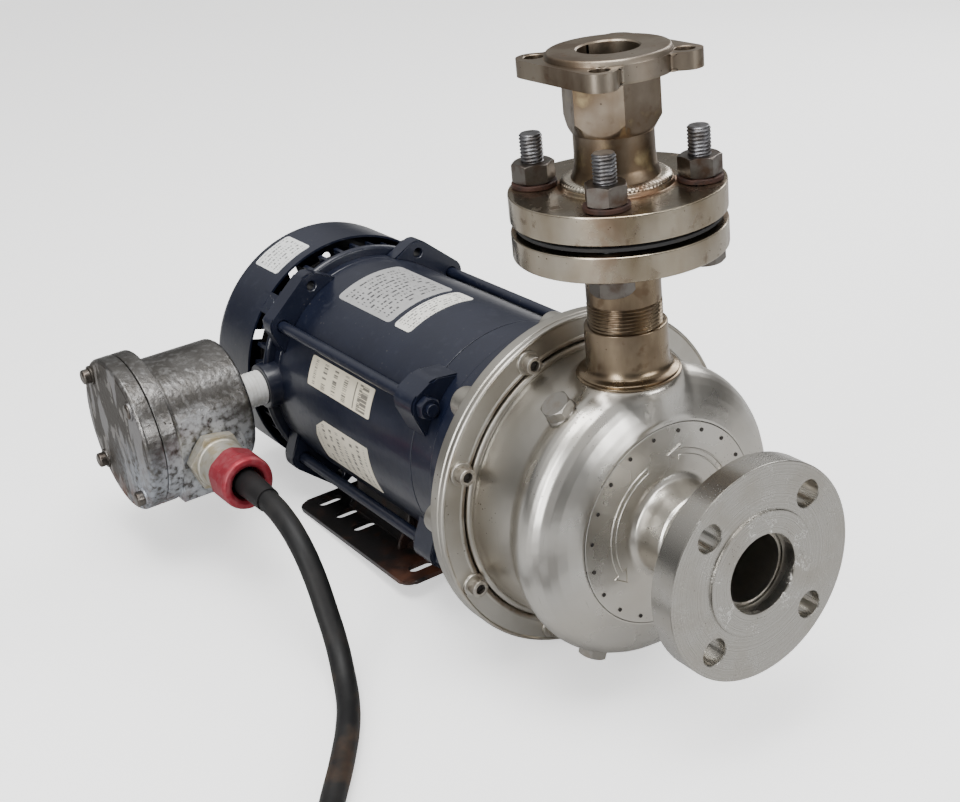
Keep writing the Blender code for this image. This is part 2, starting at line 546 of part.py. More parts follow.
def make_gland():
    axis = (GLAND_X, 0, GLAND_Z)
    gland = turned("gland_body", [(9.5, 270.7), (19.5, 270.7), (19.5, 258), (14.5, 256), (14.5, 240.5), (9.5, 240.5)],
                   "zinc_steel", ALONG_Y, axis, SMALL)
    wrench = extruded("gland_hexagon", polygon(6, 36, 10), 257, 268, None, ALONG_Y, axis)
    combine(wrench, cylinder("hexagon_bore", 12, 250, 272, None, ALONG_Y, axis))
    combine(gland, wrench, "UNION")
    turned("gland_nut", [(15.2, 240.2), (18.4, 238), (18.4, 226), (17.6, 217.5), (16, 216), (9.6, 216), (9.6, 240.2)],
           "red_anodised", ALONG_Y, axis, SMALL)


def floor_z(y):
    """Height of the floor under the resting pump, from the shaft line."""
    return -RING_R + (y - RING_REAR_Y) * FLOOR_SLOPE


def on_floor(x, y):
    return x, y, floor_z(y) + CABLE_R + 0.2


# Where the cable is led: out of the gland, down to the floor, and away to the coil
COIL_ENTRY = 52.5
COIL_HEADING = (-0.660, -0.751)
LEAD_X = COIL_X - COIL_HEADING[1] * -(COIL_R + 7.4)
LEAD_Y = COIL_Y - COIL_HEADING[0] * (COIL_R + 7.4)
CABLE_ROUTE = [
    (GLAND_X, 239.5, GLAND_Z), (GLAND_X, 214, GLAND_Z), (GLAND_X, 192, -13), (-150, 170, -17.5),
    (-150.5, 150, -28), (-151, 135, -44), (-152.5, 122, -63), (-155, 109, -80), (-160.5, 94, -92.0),
    on_floor(-169, 75), on_floor(-180, 56), on_floor(-196, 34), on_floor(-214, 12), on_floor(-235, -12),
    on_floor(LEAD_X - COIL_HEADING[0] * COIL_ENTRY * 1.6, LEAD_Y - COIL_HEADING[1] * COIL_ENTRY * 1.6),
    on_floor(LEAD_X - COIL_HEADING[0] * COIL_ENTRY, LEAD_Y - COIL_HEADING[1] * COIL_ENTRY)]


def smooth_route(points, spacing):
    """Points at even spacing along a Catmull-Rom curve through the route."""
    guides = [Vector(point) for point in points]
    guides = [2 * guides[0] - guides[1]] + guides + [2 * guides[-1] - guides[-2]]
    dense = []
    for a, b, c, d in zip(guides, guides[1:], guides[2:], guides[3:]):
        for step in range(12):
            t = step / 12
            dense.append(0.5 * ((2 * b) + (c - a) * t + (2 * a - 5 * b + 4 * c - d) * t ** 2
                                + (3 * b - a - 3 * c + d) * t ** 3))
    dense.append(guides[-2])
    lengths = [(q - p).length for p, q in zip(dense, dense[1:])]
    count = round(sum(lengths) / spacing)
    chosen, travelled, target = [dense[0]], 0.0, sum(lengths) / count
    for point, length in zip(dense[1:], lengths):
        travelled += length
        if travelled >= target * len(chosen) - 1e-6 and len(chosen) < count:
            chosen.append(point)
    return chosen + [dense[-1]]


def make_cable():
    curve = bpy.data.curves.new("cable", "CURVE")
    curve.dimensions = "3D"
    curve.bevel_depth = CABLE_R * MM
    curve.bevel_resolution = 2
    curve.use_fill_caps = True
    spline = curve.splines.new("POLY")
    points = smooth_route(CABLE_ROUTE, 2.2 * 2 * CABLE_R)
    spline.points.add(len(points) - 1)
    for spot, point in zip(spline.points, points):
        spot.co = (*(point * MM), 1.0)
    place(bpy.data.objects.new("cable", curve), "cable_rubber")


def make_coil_and_plug():
    lean = Matrix.Rotation(math.atan(FLOOR_SLOPE), 4, "X")
    low, high, side = 0.2, 2 * COIL_HALF - 0.6, 5
    inner, outer = COIL_R - COIL_HALF, COIL_R + COIL_HALF
    turned("cable_coil", [(outer - side, low), (outer, low + side), (outer, high - side), (outer - side, high),
                          (inner + side, high), (inner, high - side), (inner, low + side), (inner + side, low)],
           "cable_rubber", lean, (COIL_X, COIL_Y, floor_z(COIL_Y)))
    plug_r, start = 19.0, 55.0
    plug_y = COIL_Y - COIL_R - 7.4
    plug = turned("plug", [(0, start), (8.6, start), (10.5, start + 26), (15, start + 30), (plug_r, start + 38),
                           (plug_r, start + 74), (17.5, start + 76), (0, start + 76)], "cable_rubber",
                  lean @ ALONG_X, (COIL_X, plug_y, floor_z(plug_y) + plug_r + 0.3), SIDES)
    for index, (across, height) in enumerate(((-6.5, 0), (6.5, 0), (0, 8.5))):
        blade = [(across - 0.8, height - 3), (across + 0.8, height - 3), (across + 0.8, height + 3),
                 (across - 0.8, height + 3)]
        pin = extruded(f"plug_blade_{index + 1}", [(-h, a) for a, h in blade], start + 70, start + 96, None,
                       lean @ ALONG_X, (COIL_X, plug_y, floor_z(plug_y) + plug_r + 0.3))
        combine(plug, pin, "UNION")


for build in (make_stator_shell, make_front_bell, make_rear_bell, make_through_bolts, make_fan_cover, make_foot_base,
              make_stator, make_rotor, make_cooling_fan, make_motor_adapter, make_casing_screws, make_casing,
              make_plugs, make_suction_cover, make_seal, make_impeller, make_suction_flange, make_discharge_pipe,
              make_flange_studs, make_valve_end_piece, make_junction_box, make_gland, make_cable,
              make_coil_and_plug):
    build()
make_bearing("front", 85, 97)
make_bearing("rear", 318, 330)
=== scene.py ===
# %% [markdown]
# # A centrifugal water pump on its motor
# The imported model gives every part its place. This lesson loads it as a fixed frame and then builds the
# surface that the eye sees around it: turned flanges, a pressed casing, painted castings, bolts and a cable.
# All distances are in millimetres from the shaft line, because the real drawings are written that way.

# %% Load the frame
import math

import bmesh
import bpy
from mathutils import Matrix, Vector, noise
from mathutils.geometry import convex_hull_2d

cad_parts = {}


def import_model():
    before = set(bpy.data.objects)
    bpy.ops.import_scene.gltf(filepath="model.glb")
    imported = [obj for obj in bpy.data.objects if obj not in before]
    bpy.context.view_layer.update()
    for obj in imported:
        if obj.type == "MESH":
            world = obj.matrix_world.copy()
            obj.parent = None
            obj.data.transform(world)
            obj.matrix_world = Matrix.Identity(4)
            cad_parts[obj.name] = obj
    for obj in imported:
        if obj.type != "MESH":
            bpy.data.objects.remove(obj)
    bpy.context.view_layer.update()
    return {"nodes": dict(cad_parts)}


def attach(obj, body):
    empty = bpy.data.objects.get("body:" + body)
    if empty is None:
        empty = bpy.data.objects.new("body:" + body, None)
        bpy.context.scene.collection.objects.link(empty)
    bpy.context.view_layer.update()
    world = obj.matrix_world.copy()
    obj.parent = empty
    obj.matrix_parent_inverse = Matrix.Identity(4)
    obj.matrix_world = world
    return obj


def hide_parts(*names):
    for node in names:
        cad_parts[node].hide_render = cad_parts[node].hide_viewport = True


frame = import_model()

MM = 0.001
SHAFT_BACK, SHAFT_UP = 160.3, 88.9          # shaft line, in the plane of the discharge pipe
SHAFT = Vector((0.0, -SHAFT_BACK * MM, SHAFT_UP * MM))


def world(x, y, z):
    """A point given in millimetres from the shaft line, in the frame's metres."""
    return SHAFT + Vector((x, y, z)) * MM


# %% [markdown]
# ## The camera
# A camera is easiest to tune as a direction, a distance and a target. The pump is looked at from the suction
# end and from above, so the flange, the casing and the motor's flank all show.

# %% Camera
CAMERA_AT = (-482.51, -624.96, 436.21)
LOOK, ACROSS, DOWN = (0.47508, 0.77579, -0.41525), (0.82413, -0.55768, -0.09901), (-0.30839, -0.29518, -0.9043)
LENS = 57.22

camera_data = bpy.data.cameras.new("camera")
camera_data.lens = LENS
camera_data.sensor_width = 36.0
camera_data.clip_start, camera_data.clip_end = 0.02, 30.0
camera = bpy.data.objects.new("camera", camera_data)
bpy.context.scene.collection.objects.link(camera)
turn = Matrix([ACROSS, [-d for d in DOWN], [-d for d in LOOK]]).transposed()
camera.matrix_world = Matrix.Translation(world(*CAMERA_AT)) @ turn.to_4x4()
bpy.context.scene.camera = camera
print("camera at", tuple(round(v, 4) for v in camera.location))

# %% [markdown]
# ## The floor
# The casing ring reaches lower than the motor's foot, so a pump that lies on a bench leans back a little until
# the foot's rear edge touches. The floor here is that bench, drawn at the pump's own angle.

# %% Floor
RING_R, RING_REAR_Y, FOOT_REAR_Y = 107.0, 58.0, 300.0
FLOOR_SLOPE = (RING_R - SHAFT_UP) / (FOOT_REAR_Y - RING_REAR_Y)


def floor_height(y):
    return -RING_R + (y - RING_REAR_Y) * FLOOR_SLOPE


FLOOR_HALF, FLOOR_GAP = 6000.0, 0.1
floor_mesh = bpy.data.meshes.new("floor")
floor_mesh.from_pydata([world(sx * FLOOR_HALF, sy * FLOOR_HALF, floor_height(sy * FLOOR_HALF) - FLOOR_GAP)
                        for sx, sy in ((-1, -1), (1, -1), (1, 1), (-1, 1))], [], [(0, 1, 2, 3)])
floor = bpy.data.objects.new("floor", floor_mesh)
bpy.context.scene.collection.objects.link(floor)
print(f"floor slopes {math.degrees(math.atan(FLOOR_SLOPE)):.2f} degrees")

# %% [markdown]
# ## The cable's route
# A cable is one fixed length of something bendy. It comes straight out of the gland, falls to the bench under
# its own weight, wanders towards the front and is then put away as a coil of flat turns with the plug beside it.
# The route is a list of points, and a Bezier curve with automatic handles keeps every bend round.

# %% Route of the cable
CABLE_R, CABLE_GAP = 7.3, 0.2
GLAND_X, GLAND_Z = -150.0, -12.0
COIL_X, COIL_Y = -245.0, -148.0
OUTER_TURN, INNER_TURN, LAYER = 88.4, 73.6, 14.8
ENTRY_ANGLE, LEAVE_ANGLE = 138.7, 990.0
STEP_IN, STEP_OUT, CLIMB = (430, 492), (850, 975), (755, 835)       # where on its way round the cable changes lane
PLUG_Y = COIL_Y - OUTER_TURN


def on_floor(x, y, lift=0.0):
    return x, y, floor_height(y) + CABLE_R + CABLE_GAP + lift


def ease(value, start, end):
    """A smooth step from 0 at start to 1 at end."""
    t = min(max((value - start) / (end - start), 0.0), 1.0)
    return t * t * (3 - 2 * t)


def coil_point(angle):
    inward = ease(angle, *STEP_IN) - ease(angle, *STEP_OUT)
    radius = OUTER_TURN - (OUTER_TURN - INNER_TURN) * inward
    lift = LAYER * ease(angle, *CLIMB)
    a = math.radians(angle)
    return on_floor(COIL_X + radius * math.cos(a), COIL_Y + radius * math.sin(a), lift)


entry = math.radians(ENTRY_ANGLE)
heading = (-math.sin(entry), math.cos(entry))
lead = (COIL_X + OUTER_TURN * math.cos(entry), COIL_Y + OUTER_TURN * math.sin(entry))
route = [(GLAND_X, 239.5, GLAND_Z), (GLAND_X, 214, GLAND_Z), (GLAND_X, 192, -13), (-150, 170, -17.5),
         (-150.5, 150, -28), (-151, 135, -44), (-152.5, 122, -63), (-155, 109, -80), (-160.5, 94, -92.0),
         on_floor(-169, 75), on_floor(-180, 56), on_floor(-196, 34), on_floor(-214, 12), on_floor(-235, -12)]
route += [on_floor(lead[0] - heading[0] * back, lead[1] - heading[1] * back) for back in (84.0, 52.5, 25.0)]
TURN_STEP = 18
steps = round((LEAVE_ANGLE - ENTRY_ANGLE) / TURN_STEP)
route += [coil_point(ENTRY_ANGLE + (LEAVE_ANGLE - ENTRY_ANGLE) * i / steps) for i in range(steps + 1)]
PLUG_AXIS = 19.3
route += [(COIL_X + 28, PLUG_Y, floor_height(PLUG_Y) + PLUG_AXIS + 1.8),
          (COIL_X + 56, PLUG_Y, floor_height(PLUG_Y) + PLUG_AXIS)]

cable_curve = bpy.data.curves.new("cable_run", "CURVE")
cable_curve.dimensions = "3D"
cable_curve.bevel_depth = CABLE_R * MM
cable_curve.bevel_resolution = 5
cable_curve.resolution_u = 6
cable_curve.use_fill_caps = True
spline = cable_curve.splines.new("BEZIER")
spline.bezier_points.add(len(route) - 1)
for spot, point in zip(spline.bezier_points, route):
    spot.co = world(*point)
    spot.handle_left_type = spot.handle_right_type = "AUTO"


def curve_mesh(data):
    """The curve's own surface as a plain mesh."""
    drawn = bpy.data.objects.new("drawn_curve", data)
    bpy.context.scene.collection.objects.link(drawn)
    mesh = bpy.data.meshes.new_from_object(drawn.evaluated_get(bpy.context.evaluated_depsgraph_get()))
    bpy.data.objects.remove(drawn, do_unlink=True)
    return mesh


cable_mesh = curve_mesh(cable_curve)
cable_curve.bevel_depth = 0.0
centreline = [tuple(vertex.co) for vertex in curve_mesh(cable_curve).vertices]
cable_curve.bevel_depth = CABLE_R * MM

# %% [markdown]
# The curve is turned into a tube of faces, whose doubled points at the seam are merged. The bare line of points
# is kept as well.

# %% The cable as a mesh
tube = bmesh.new()
tube.from_mesh(cable_mesh)
bmesh.ops.remove_doubles(tube, verts=tube.verts, dist=1e-6)
tube.to_mesh(cable_mesh)
tube.free()
cable_mesh.name = "cable_run"
for side in cable_mesh.polygons:
    side.use_smooth = True
cable_run = bpy.data.objects.new("cable_run", cable_mesh)
bpy.context.scene.collection.objects.link(cable_run)
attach(cable_run, "root")
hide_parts("cable", "cable_coil")
print(len(cable_mesh.polygons), "faces on the cable")

# %% [markdown]
# ## Light
# Bright metal shows what is around it. The background that the camera sees is plain and pale, while the metal
# sees a soft sky: bright overhead, darker at the sides, with large lamps as softboxes for long clean highlights.

# %% World and lamps
PALE, BACKDROP, SKY_LIGHT = (1.0, 1.0, 1.0), 2.2, 0.85
SKY_GREYS = ((0.0, 0.30), (0.44, 0.20), (0.52, 0.07), (0.60, 0.16), (0.76, 0.62), (1.0, 1.20))     # nadir to zenith
sky = bpy.data.worlds.new("studio")
bpy.context.scene.world = sky
sky.use_nodes = True
nodes, links = sky.node_tree.nodes, sky.node_tree.links
nodes.clear()
out = nodes.new("ShaderNodeOutputWorld")
seen, felt = nodes.new("ShaderNodeBackground"), nodes.new("ShaderNodeBackground")
choose = nodes.new("ShaderNodeMixShader")
seen.inputs["Color"].default_value = (*PALE, 1)
seen.inputs["Strength"].default_value = BACKDROP
direction, split = nodes.new("ShaderNodeTexCoord"), nodes.new("ShaderNodeSeparateXYZ")
ramp, path = nodes.new("ShaderNodeValToRGB"), nodes.new("ShaderNodeLightPath")
remap = nodes.new("ShaderNodeMapRange")
remap.inputs["From Min"].default_value = -1.0
links.new(direction.outputs["Generated"], split.inputs[0])
links.new(split.outputs["Z"], remap.inputs["Value"])
links.new(remap.outputs["Result"], ramp.inputs["Fac"])
for position, grey in SKY_GREYS:
    stop = ramp.color_ramp.elements.new(position) if position not in (0.0, 1.0) else \
        ramp.color_ramp.elements[0 if position == 0.0 else -1]
    stop.color = (grey, grey * 0.99, grey * 0.97, 1)
links.new(ramp.outputs["Color"], felt.inputs["Color"])
felt.inputs["Strength"].default_value = SKY_LIGHT
links.new(path.outputs["Is Camera Ray"], choose.inputs[0])
links.new(felt.outputs[0], choose.inputs[1])
links.new(seen.outputs[0], choose.inputs[2])
links.new(choose.outputs[0], out.inputs["Surface"])

PUMP_MIDDLE = (0, 60, 20)


def softbox(name, at, size, power):
    """A rectangular lamp at a point, turned to the middle of the pump."""
    lamp = bpy.data.lights.new(name, "AREA")
    lamp.shape, lamp.size, lamp.size_y = "RECTANGLE", size[0] * MM, size[1] * MM
    lamp.energy = power
    obj = bpy.data.objects.new(name, lamp)
    bpy.context.scene.collection.objects.link(obj)
    obj.location = world(*at)
    obj.rotation_euler = (world(*PUMP_MIDDLE) - obj.location).to_track_quat("-Z", "Y").to_euler()
    print("softbox", name, power, "W")


softbox("overhead", (-250, -150, 1500), (1100, 900), 26)
softbox("front_window", (-1500, -500, 600), (500, 1300), 20)
softbox("suction_side", (500, -1500, 500), (900, 500), 12)
softbox("far_side", (1300, 500, 900), (700, 900), 12)

# %% [markdown]
# ## Shader building blocks
# Every finish below is made of the same few effects. Each effect is a node group with named inputs, built once.
# Coordinates reach the groups in millimetres from the shaft line, so a scale of 0.1 means features of 10 mm.

# %% Node helpers
def add(tree, kind, settings=None, **inputs):
    """Adds a node; inputs are values or sockets, by name with underscores for spaces."""
    node = tree.nodes.new(kind)
    for name, value in (settings or {}).items():
        setattr(node, name, value)
    for name, value in inputs.items():
        socket = node.inputs[int(name[1:])] if name[0] == "i" and name[1:].isdigit() else \
            node.inputs[name.replace("_", " ")]
        if isinstance(value, bpy.types.NodeSocket):
            tree.links.new(value, socket)
        elif isinstance(value, bpy.types.Node):
            tree.links.new(value.outputs[0], socket)
        else:
            socket.default_value = value
    return node


def new_group(name, numbers, outputs, vector=True):
    """An empty shader group: a Vector input, named numbers with their usual values, and named outputs."""
    tree = bpy.data.node_groups.new(name, "ShaderNodeTree")
    if vector:
        tree.interface.new_socket("Vector", in_out="INPUT", socket_type="NodeSocketVector")
    for socket, value in numbers.items():
        made = tree.interface.new_socket(socket, in_out="INPUT", socket_type="NodeSocketFloat")
        made.default_value = value
    for socket in outputs:
        tree.interface.new_socket(socket, in_out="OUTPUT", socket_type="NodeSocketFloat")
    return tree, add(tree, "NodeGroupInput"), add(tree, "NodeGroupOutput")


def maths(tree, operation, a, b=0.0):
    return add(tree, "ShaderNodeMath", {"operation": operation}, i0=a, i1=b)


def finish_group(tree, sink, value):
    tree.links.new(value.outputs[0] if isinstance(value, bpy.types.Node) else value, sink.inputs[0])
    return tree


# %% [markdown]
# Four effects cover this pump: soft stains, small pits, the rings a lathe leaves, and a band between two values,
# which picks out an edge or a zone. They could be copied into each material, but one group each is easier to tune.

# %% The shared effects
def build_blotches():
    """Soft stains: noise, cut between From and To."""
    tree, given, sink = new_group("blotches", {"Scale": 0.05, "From": 0.45, "To": 0.65, "Detail": 4.0}, ["Mask"])
    cloud = add(tree, "ShaderNodeTexNoise", Vector=given.outputs["Vector"], Scale=given.outputs["Scale"],
                Detail=given.outputs["Detail"])
    return finish_group(tree, sink, add(tree, "ShaderNodeMapRange", Value=cloud.outputs[0],
                                        From_Min=given.outputs["From"], From_Max=given.outputs["To"]))


def build_specks():
    """Small dark pits, in patches: a Voronoi distance under a size that noise changes."""
    tree, given, sink = new_group("specks", {"Scale": 0.3, "Size": 0.12, "Patch": 0.03}, ["Mask"])
    cells = add(tree, "ShaderNodeTexVoronoi", Vector=given.outputs["Vector"], Scale=given.outputs["Scale"])
    patch = add(tree, "ShaderNodeTexNoise", Vector=given.outputs["Vector"], Scale=given.outputs["Patch"], Detail=2.0)
    spread = add(tree, "ShaderNodeMapRange", Value=patch.outputs[0], From_Min=0.42, From_Max=0.66, To_Min=0.0,
                 To_Max=1.0)
    tone = add(tree, "ShaderNodeSeparateColor", Color=cells.outputs["Color"])
    size = maths(tree, "MULTIPLY", maths(tree, "MULTIPLY", spread, given.outputs["Size"]), tone.outputs[0])
    inside = maths(tree, "SUBTRACT", size, cells.outputs["Distance"])
    return finish_group(tree, sink, add(tree, "ShaderNodeMapRange", Value=inside, From_Min=0.0, From_Max=0.03))


def build_rings():
    """Fine tool marks round the Y axis of its coordinates: noise read along the radius only."""
    tree, given, sink = new_group("turning_marks", {"Scale": 2.0}, ["Height"])
    flat = add(tree, "ShaderNodeVectorMath", {"operation": "MULTIPLY"}, i0=given.outputs["Vector"], i1=(1, 0, 1))
    radius = add(tree, "ShaderNodeVectorMath", {"operation": "LENGTH"}, i0=flat)
    marks = add(tree, "ShaderNodeTexNoise", {"noise_dimensions": "1D"},
                W=maths(tree, "MULTIPLY", radius.outputs["Value"], given.outputs["Scale"]), Scale=1.0, Detail=3.0)
    return finish_group(tree, sink, marks.outputs[0])


def build_band():
    """1 where a number lies between Low and High, with soft edges."""
    tree, given, sink = new_group("band", {"Value": 0.0, "Low": 0.0, "High": 1.0, "Soft": 0.1}, ["Mask"], vector=False)
    soft = given.outputs["Soft"]
    up = add(tree, "ShaderNodeMapRange", {"interpolation_type": "SMOOTHSTEP"}, Value=given.outputs["Value"],
             From_Min=maths(tree, "SUBTRACT", given.outputs["Low"], soft),
             From_Max=maths(tree, "ADD", given.outputs["Low"], soft))
    down = add(tree, "ShaderNodeMapRange", {"interpolation_type": "SMOOTHSTEP"}, Value=given.outputs["Value"],
               From_Min=maths(tree, "ADD", given.outputs["High"], soft),
               From_Max=maths(tree, "SUBTRACT", given.outputs["High"], soft))
    return finish_group(tree, sink, maths(tree, "MULTIPLY", up, down))


EFFECTS = {"blotches": build_blotches(), "specks": build_specks(), "turning_marks": build_rings(),
           "band": build_band()}
print("shader groups", sorted(EFFECTS))

# %% [markdown]
# A finish starts as one colour and one roughness. Layers are then painted over it through masks, as stains and
# wear come over a real surface, and bumps are stacked in the same order. A small class keeps the node links out
# of the recipes below, so that each of those reads as a list of layers.

# %% A finish in the making
class Finish:
    """A material in the making: base colour and roughness that layers change, and one stack of bumps."""

    def __init__(self, name, colour, roughness, metallic, coat=0.0, specular=0.5):
        self.material = bpy.data.materials.new(name)
        self.material.use_nodes = True
        self.tree = self.material.node_tree
        self.shader = self.tree.nodes["Principled BSDF"]
        self.shader.inputs["Metallic"].default_value = metallic
        self.shader.inputs["Coat Weight"].default_value = coat
        self.shader.inputs["Coat Roughness"].default_value = 0.12
        self.shader.inputs["Specular IOR Level"].default_value = specular
        coordinates = add(self.tree, "ShaderNodeTexCoord")
        self.at = add(self.tree, "ShaderNodeMapping", Vector=coordinates.outputs["Object"], Scale=(1000.0,) * 3,
                      Location=(0, SHAFT_BACK, -SHAFT_UP)).outputs[0]
        self.colour = add(self.tree, "ShaderNodeRGB").outputs[0]
        self.colour.default_value = (*colour, 1)
        self.roughness = add(self.tree, "ShaderNodeValue").outputs[0]
        self.roughness.default_value = roughness
        self.normal = None

    def stretched(self, scale):
        return add(self.tree, "ShaderNodeMapping", Vector=self.at, Scale=scale).outputs[0]

    def effect(self, group, **inputs):
        inputs.setdefault("Vector", self.at)
        if group == "band":
            inputs.pop("Vector")
        return add(self.tree, "ShaderNodeGroup", {"node_tree": EFFECTS[group]}, **inputs).outputs[0]

    def axis(self, letter):
        return add(self.tree, "ShaderNodeSeparateXYZ", Vector=self.at).outputs[letter]

    def radius(self, plane=(1, 0, 1), centre=(0, 0, 0)):
        moved = add(self.tree, "ShaderNodeVectorMath", {"operation": "SUBTRACT"}, i0=self.at, i1=centre)
        flat = add(self.tree, "ShaderNodeVectorMath", {"operation": "MULTIPLY"}, i0=moved, i1=plane)
        return add(self.tree, "ShaderNodeVectorMath", {"operation": "LENGTH"}, i0=flat).outputs["Value"]

    def both(self, a, b, operation="MULTIPLY"):
        return maths(self.tree, operation, a, b).outputs[0]

    def paint(self, mask, colour, amount=1.0, roughness=None):
        """Lays a colour, and a roughness, over what is there, where the mask is 1."""
        fac = self.both(mask, amount)
        mix = add(self.tree, "ShaderNodeMix", {"data_type": "RGBA"}, i0=fac, i6=self.colour, i7=(*colour, 1))
        self.colour = mix.outputs[2]
        if roughness is not None:
            self.roughness = add(self.tree, "ShaderNodeMix", {"data_type": "FLOAT"}, i0=fac, i2=self.roughness,
                                 i3=roughness).outputs[0]

    def bump(self, height, strength, distance=0.0005):
        inputs = {"Height": height, "Strength": strength, "Distance": distance}
        if self.normal is not None:
            inputs["Normal"] = self.normal
        self.normal = add(self.tree, "ShaderNodeBump", **inputs).outputs["Normal"]

    def noise(self, scale, detail=3.0):
        return add(self.tree, "ShaderNodeTexNoise", Vector=self.at, Scale=scale, Detail=detail).outputs[0]

    def spread(self, value, low, high, to_low=0.0, to_high=1.0):
        return add(self.tree, "ShaderNodeMapRange", Value=value, From_Min=low, From_Max=high, To_Min=to_low,
                   To_Max=to_high).outputs[0]

    def done(self):
        self.tree.links.new(self.colour, self.shader.inputs["Base Color"])
        self.tree.links.new(self.roughness, self.shader.inputs["Roughness"])
        if self.normal is not None:
            self.tree.links.new(self.normal, self.shader.inputs["Normal"])
        return self.material


# %% [markdown]
# ## Paint
# The motor is dipped in navy enamel and its foot in black. Paint is a dark base with a clear coat, uneven like a
# brushed-on enamel, with a few pale chips. Rust is a colour that kills the shine, so it raises the roughness too.

# %% Paint and rust
RUST, GRIME = (0.16, 0.055, 0.022), (0.045, 0.038, 0.03)


def motor_enamel():
    paint = Finish("motor_enamel", (0.0036, 0.0058, 0.0165), 0.32, 0.0, coat=0.30)
    paint.paint(paint.effect("blotches", Scale=0.02, From=0.40, To=0.72), (0.0062, 0.0092, 0.0225), 0.8, 0.40)
    paint.paint(paint.effect("blotches", Scale=0.16, From=0.60, To=0.68, Detail=6.0), (0.018, 0.021, 0.034), 0.35,
                0.55)
    paint.paint(paint.effect("specks", Scale=0.35, Size=0.22, Patch=0.04), (0.12, 0.11, 0.10), 0.5, 0.6)
    under = paint.spread(paint.axis("Z"), -20, -75)
    paint.paint(paint.both(under, paint.noise(0.05)), (0.008, 0.010, 0.018), 0.8, 0.5)
    paint.bump(paint.noise(0.35, 4.0), 0.10, 0.0006)
    paint.bump(paint.noise(0.05, 2.0), 0.16, 0.002)
    return paint.done()


def foot_enamel():
    paint = Finish("foot_enamel", (0.010, 0.009, 0.009), 0.30, 0.0, coat=0.35)
    corner = paint.both(paint.spread(paint.axis("Y"), 205, 150), paint.spread(paint.noise(0.06, 5.0), 0.38, 0.60))
    paint.paint(corner, (0.085, 0.028, 0.012), 0.85, 0.62)
    paint.paint(paint.effect("blotches", Scale=0.09, From=0.56, To=0.70, Detail=6.0), (0.040, 0.018, 0.010), 0.7, 0.6)
    paint.bump(paint.noise(0.5, 3.0), 0.15, 0.0005)
    return paint.done()


# %% [markdown]
# ## Stainless steel
# Stainless steel is mostly roughness. The cast ring is dull with a brown line where dirt gathers, and the pressed
# sheet is satin with dark specks. Turned faces carry fine rings, and the welded pipework has turned gold and brown
# from heat. All start from the same grey and differ in their layers.

# %% Stainless steel
def ring_casting():
    steel = Finish("ring_casting", (0.52, 0.50, 0.455), 0.36, 1.0)
    steel.paint(steel.effect("blotches", Scale=0.035, From=0.40, To=0.75), (0.34, 0.31, 0.26), 0.7, 0.44)
    edge = steel.effect("band", Value=steel.radius(), Low=90.0, High=93.5, Soft=0.9)
    steel.paint(steel.both(edge, steel.spread(steel.noise(0.08), 0.3, 0.6)), (0.20, 0.15, 0.10), 0.75, 0.55)
    rim = steel.effect("band", Value=steel.radius(), Low=104.4, High=106.2, Soft=0.8)
    steel.paint(steel.both(rim, steel.spread(steel.noise(0.05), 0.42, 0.62)), (0.33, 0.25, 0.17), 0.5)
    steel.paint(steel.effect("specks", Scale=0.25, Size=0.20, Patch=0.03), (0.10, 0.085, 0.07), 0.7, 0.6)
    steel.bump(steel.noise(1.6, 3.0), 0.14, 0.0003)
    return steel.done()


def pressed_sheet():
    steel = Finish("pressed_sheet", (0.60, 0.585, 0.55), 0.27, 1.0)
    # painted shade: the recessed band between the bulge's crease and the ring is darkened, as shade falls there
    band = steel.effect("band", Value=steel.axis("Y"), Low=6.0, High=46.0, Soft=4.0)
    steel.paint(band, (0.36, 0.345, 0.31), 0.75, 0.36)
    steel.paint(steel.effect("blotches", Scale=0.03, From=0.42, To=0.72), (0.50, 0.475, 0.43), 0.6, 0.36)
    steel.paint(steel.effect("blotches", Scale=0.009, From=0.45, To=0.70, Detail=2.0), (0.56, 0.51, 0.43), 0.6)
    neck = steel.effect("band", Value=steel.radius((1, 1, 0)), Low=22.0, High=34.0, Soft=6.0)
    high = steel.spread(steel.axis("Z"), 78, 88)
    steel.paint(steel.both(neck, high), (0.34, 0.27, 0.19), 0.55)
    specks = steel.effect("specks", Scale=0.42, Size=0.30, Patch=0.02)
    steel.paint(steel.both(specks, steel.spread(steel.axis("Y"), -20, 25, 0.45, 1.0)), (0.09, 0.075, 0.06), 0.85, 0.55)
    crease = steel.effect("band", Value=steel.axis("Y"), Low=2.0, High=9.0, Soft=3.0)
    steel.paint(steel.both(crease, steel.spread(steel.noise(0.06, 5.0), 0.45, 0.7)), (0.16, 0.13, 0.10), 0.55, 0.5)
    scratch = steel.effect("blotches", Vector=steel.stretched((0.25, 1.0, 0.02)), Scale=1.1, From=0.68, To=0.74)
    steel.paint(scratch, (0.30, 0.28, 0.25), 0.35)
    steel.bump(steel.noise(0.035, 2.0), 0.25, 0.003)
    steel.bump(steel.noise(2.5, 2.0), 0.05, 0.0002)
    return steel.done()


BORE_EDGE, CRUST_EDGE = 22.5, 36.0      # radii between which the dried crust thins out


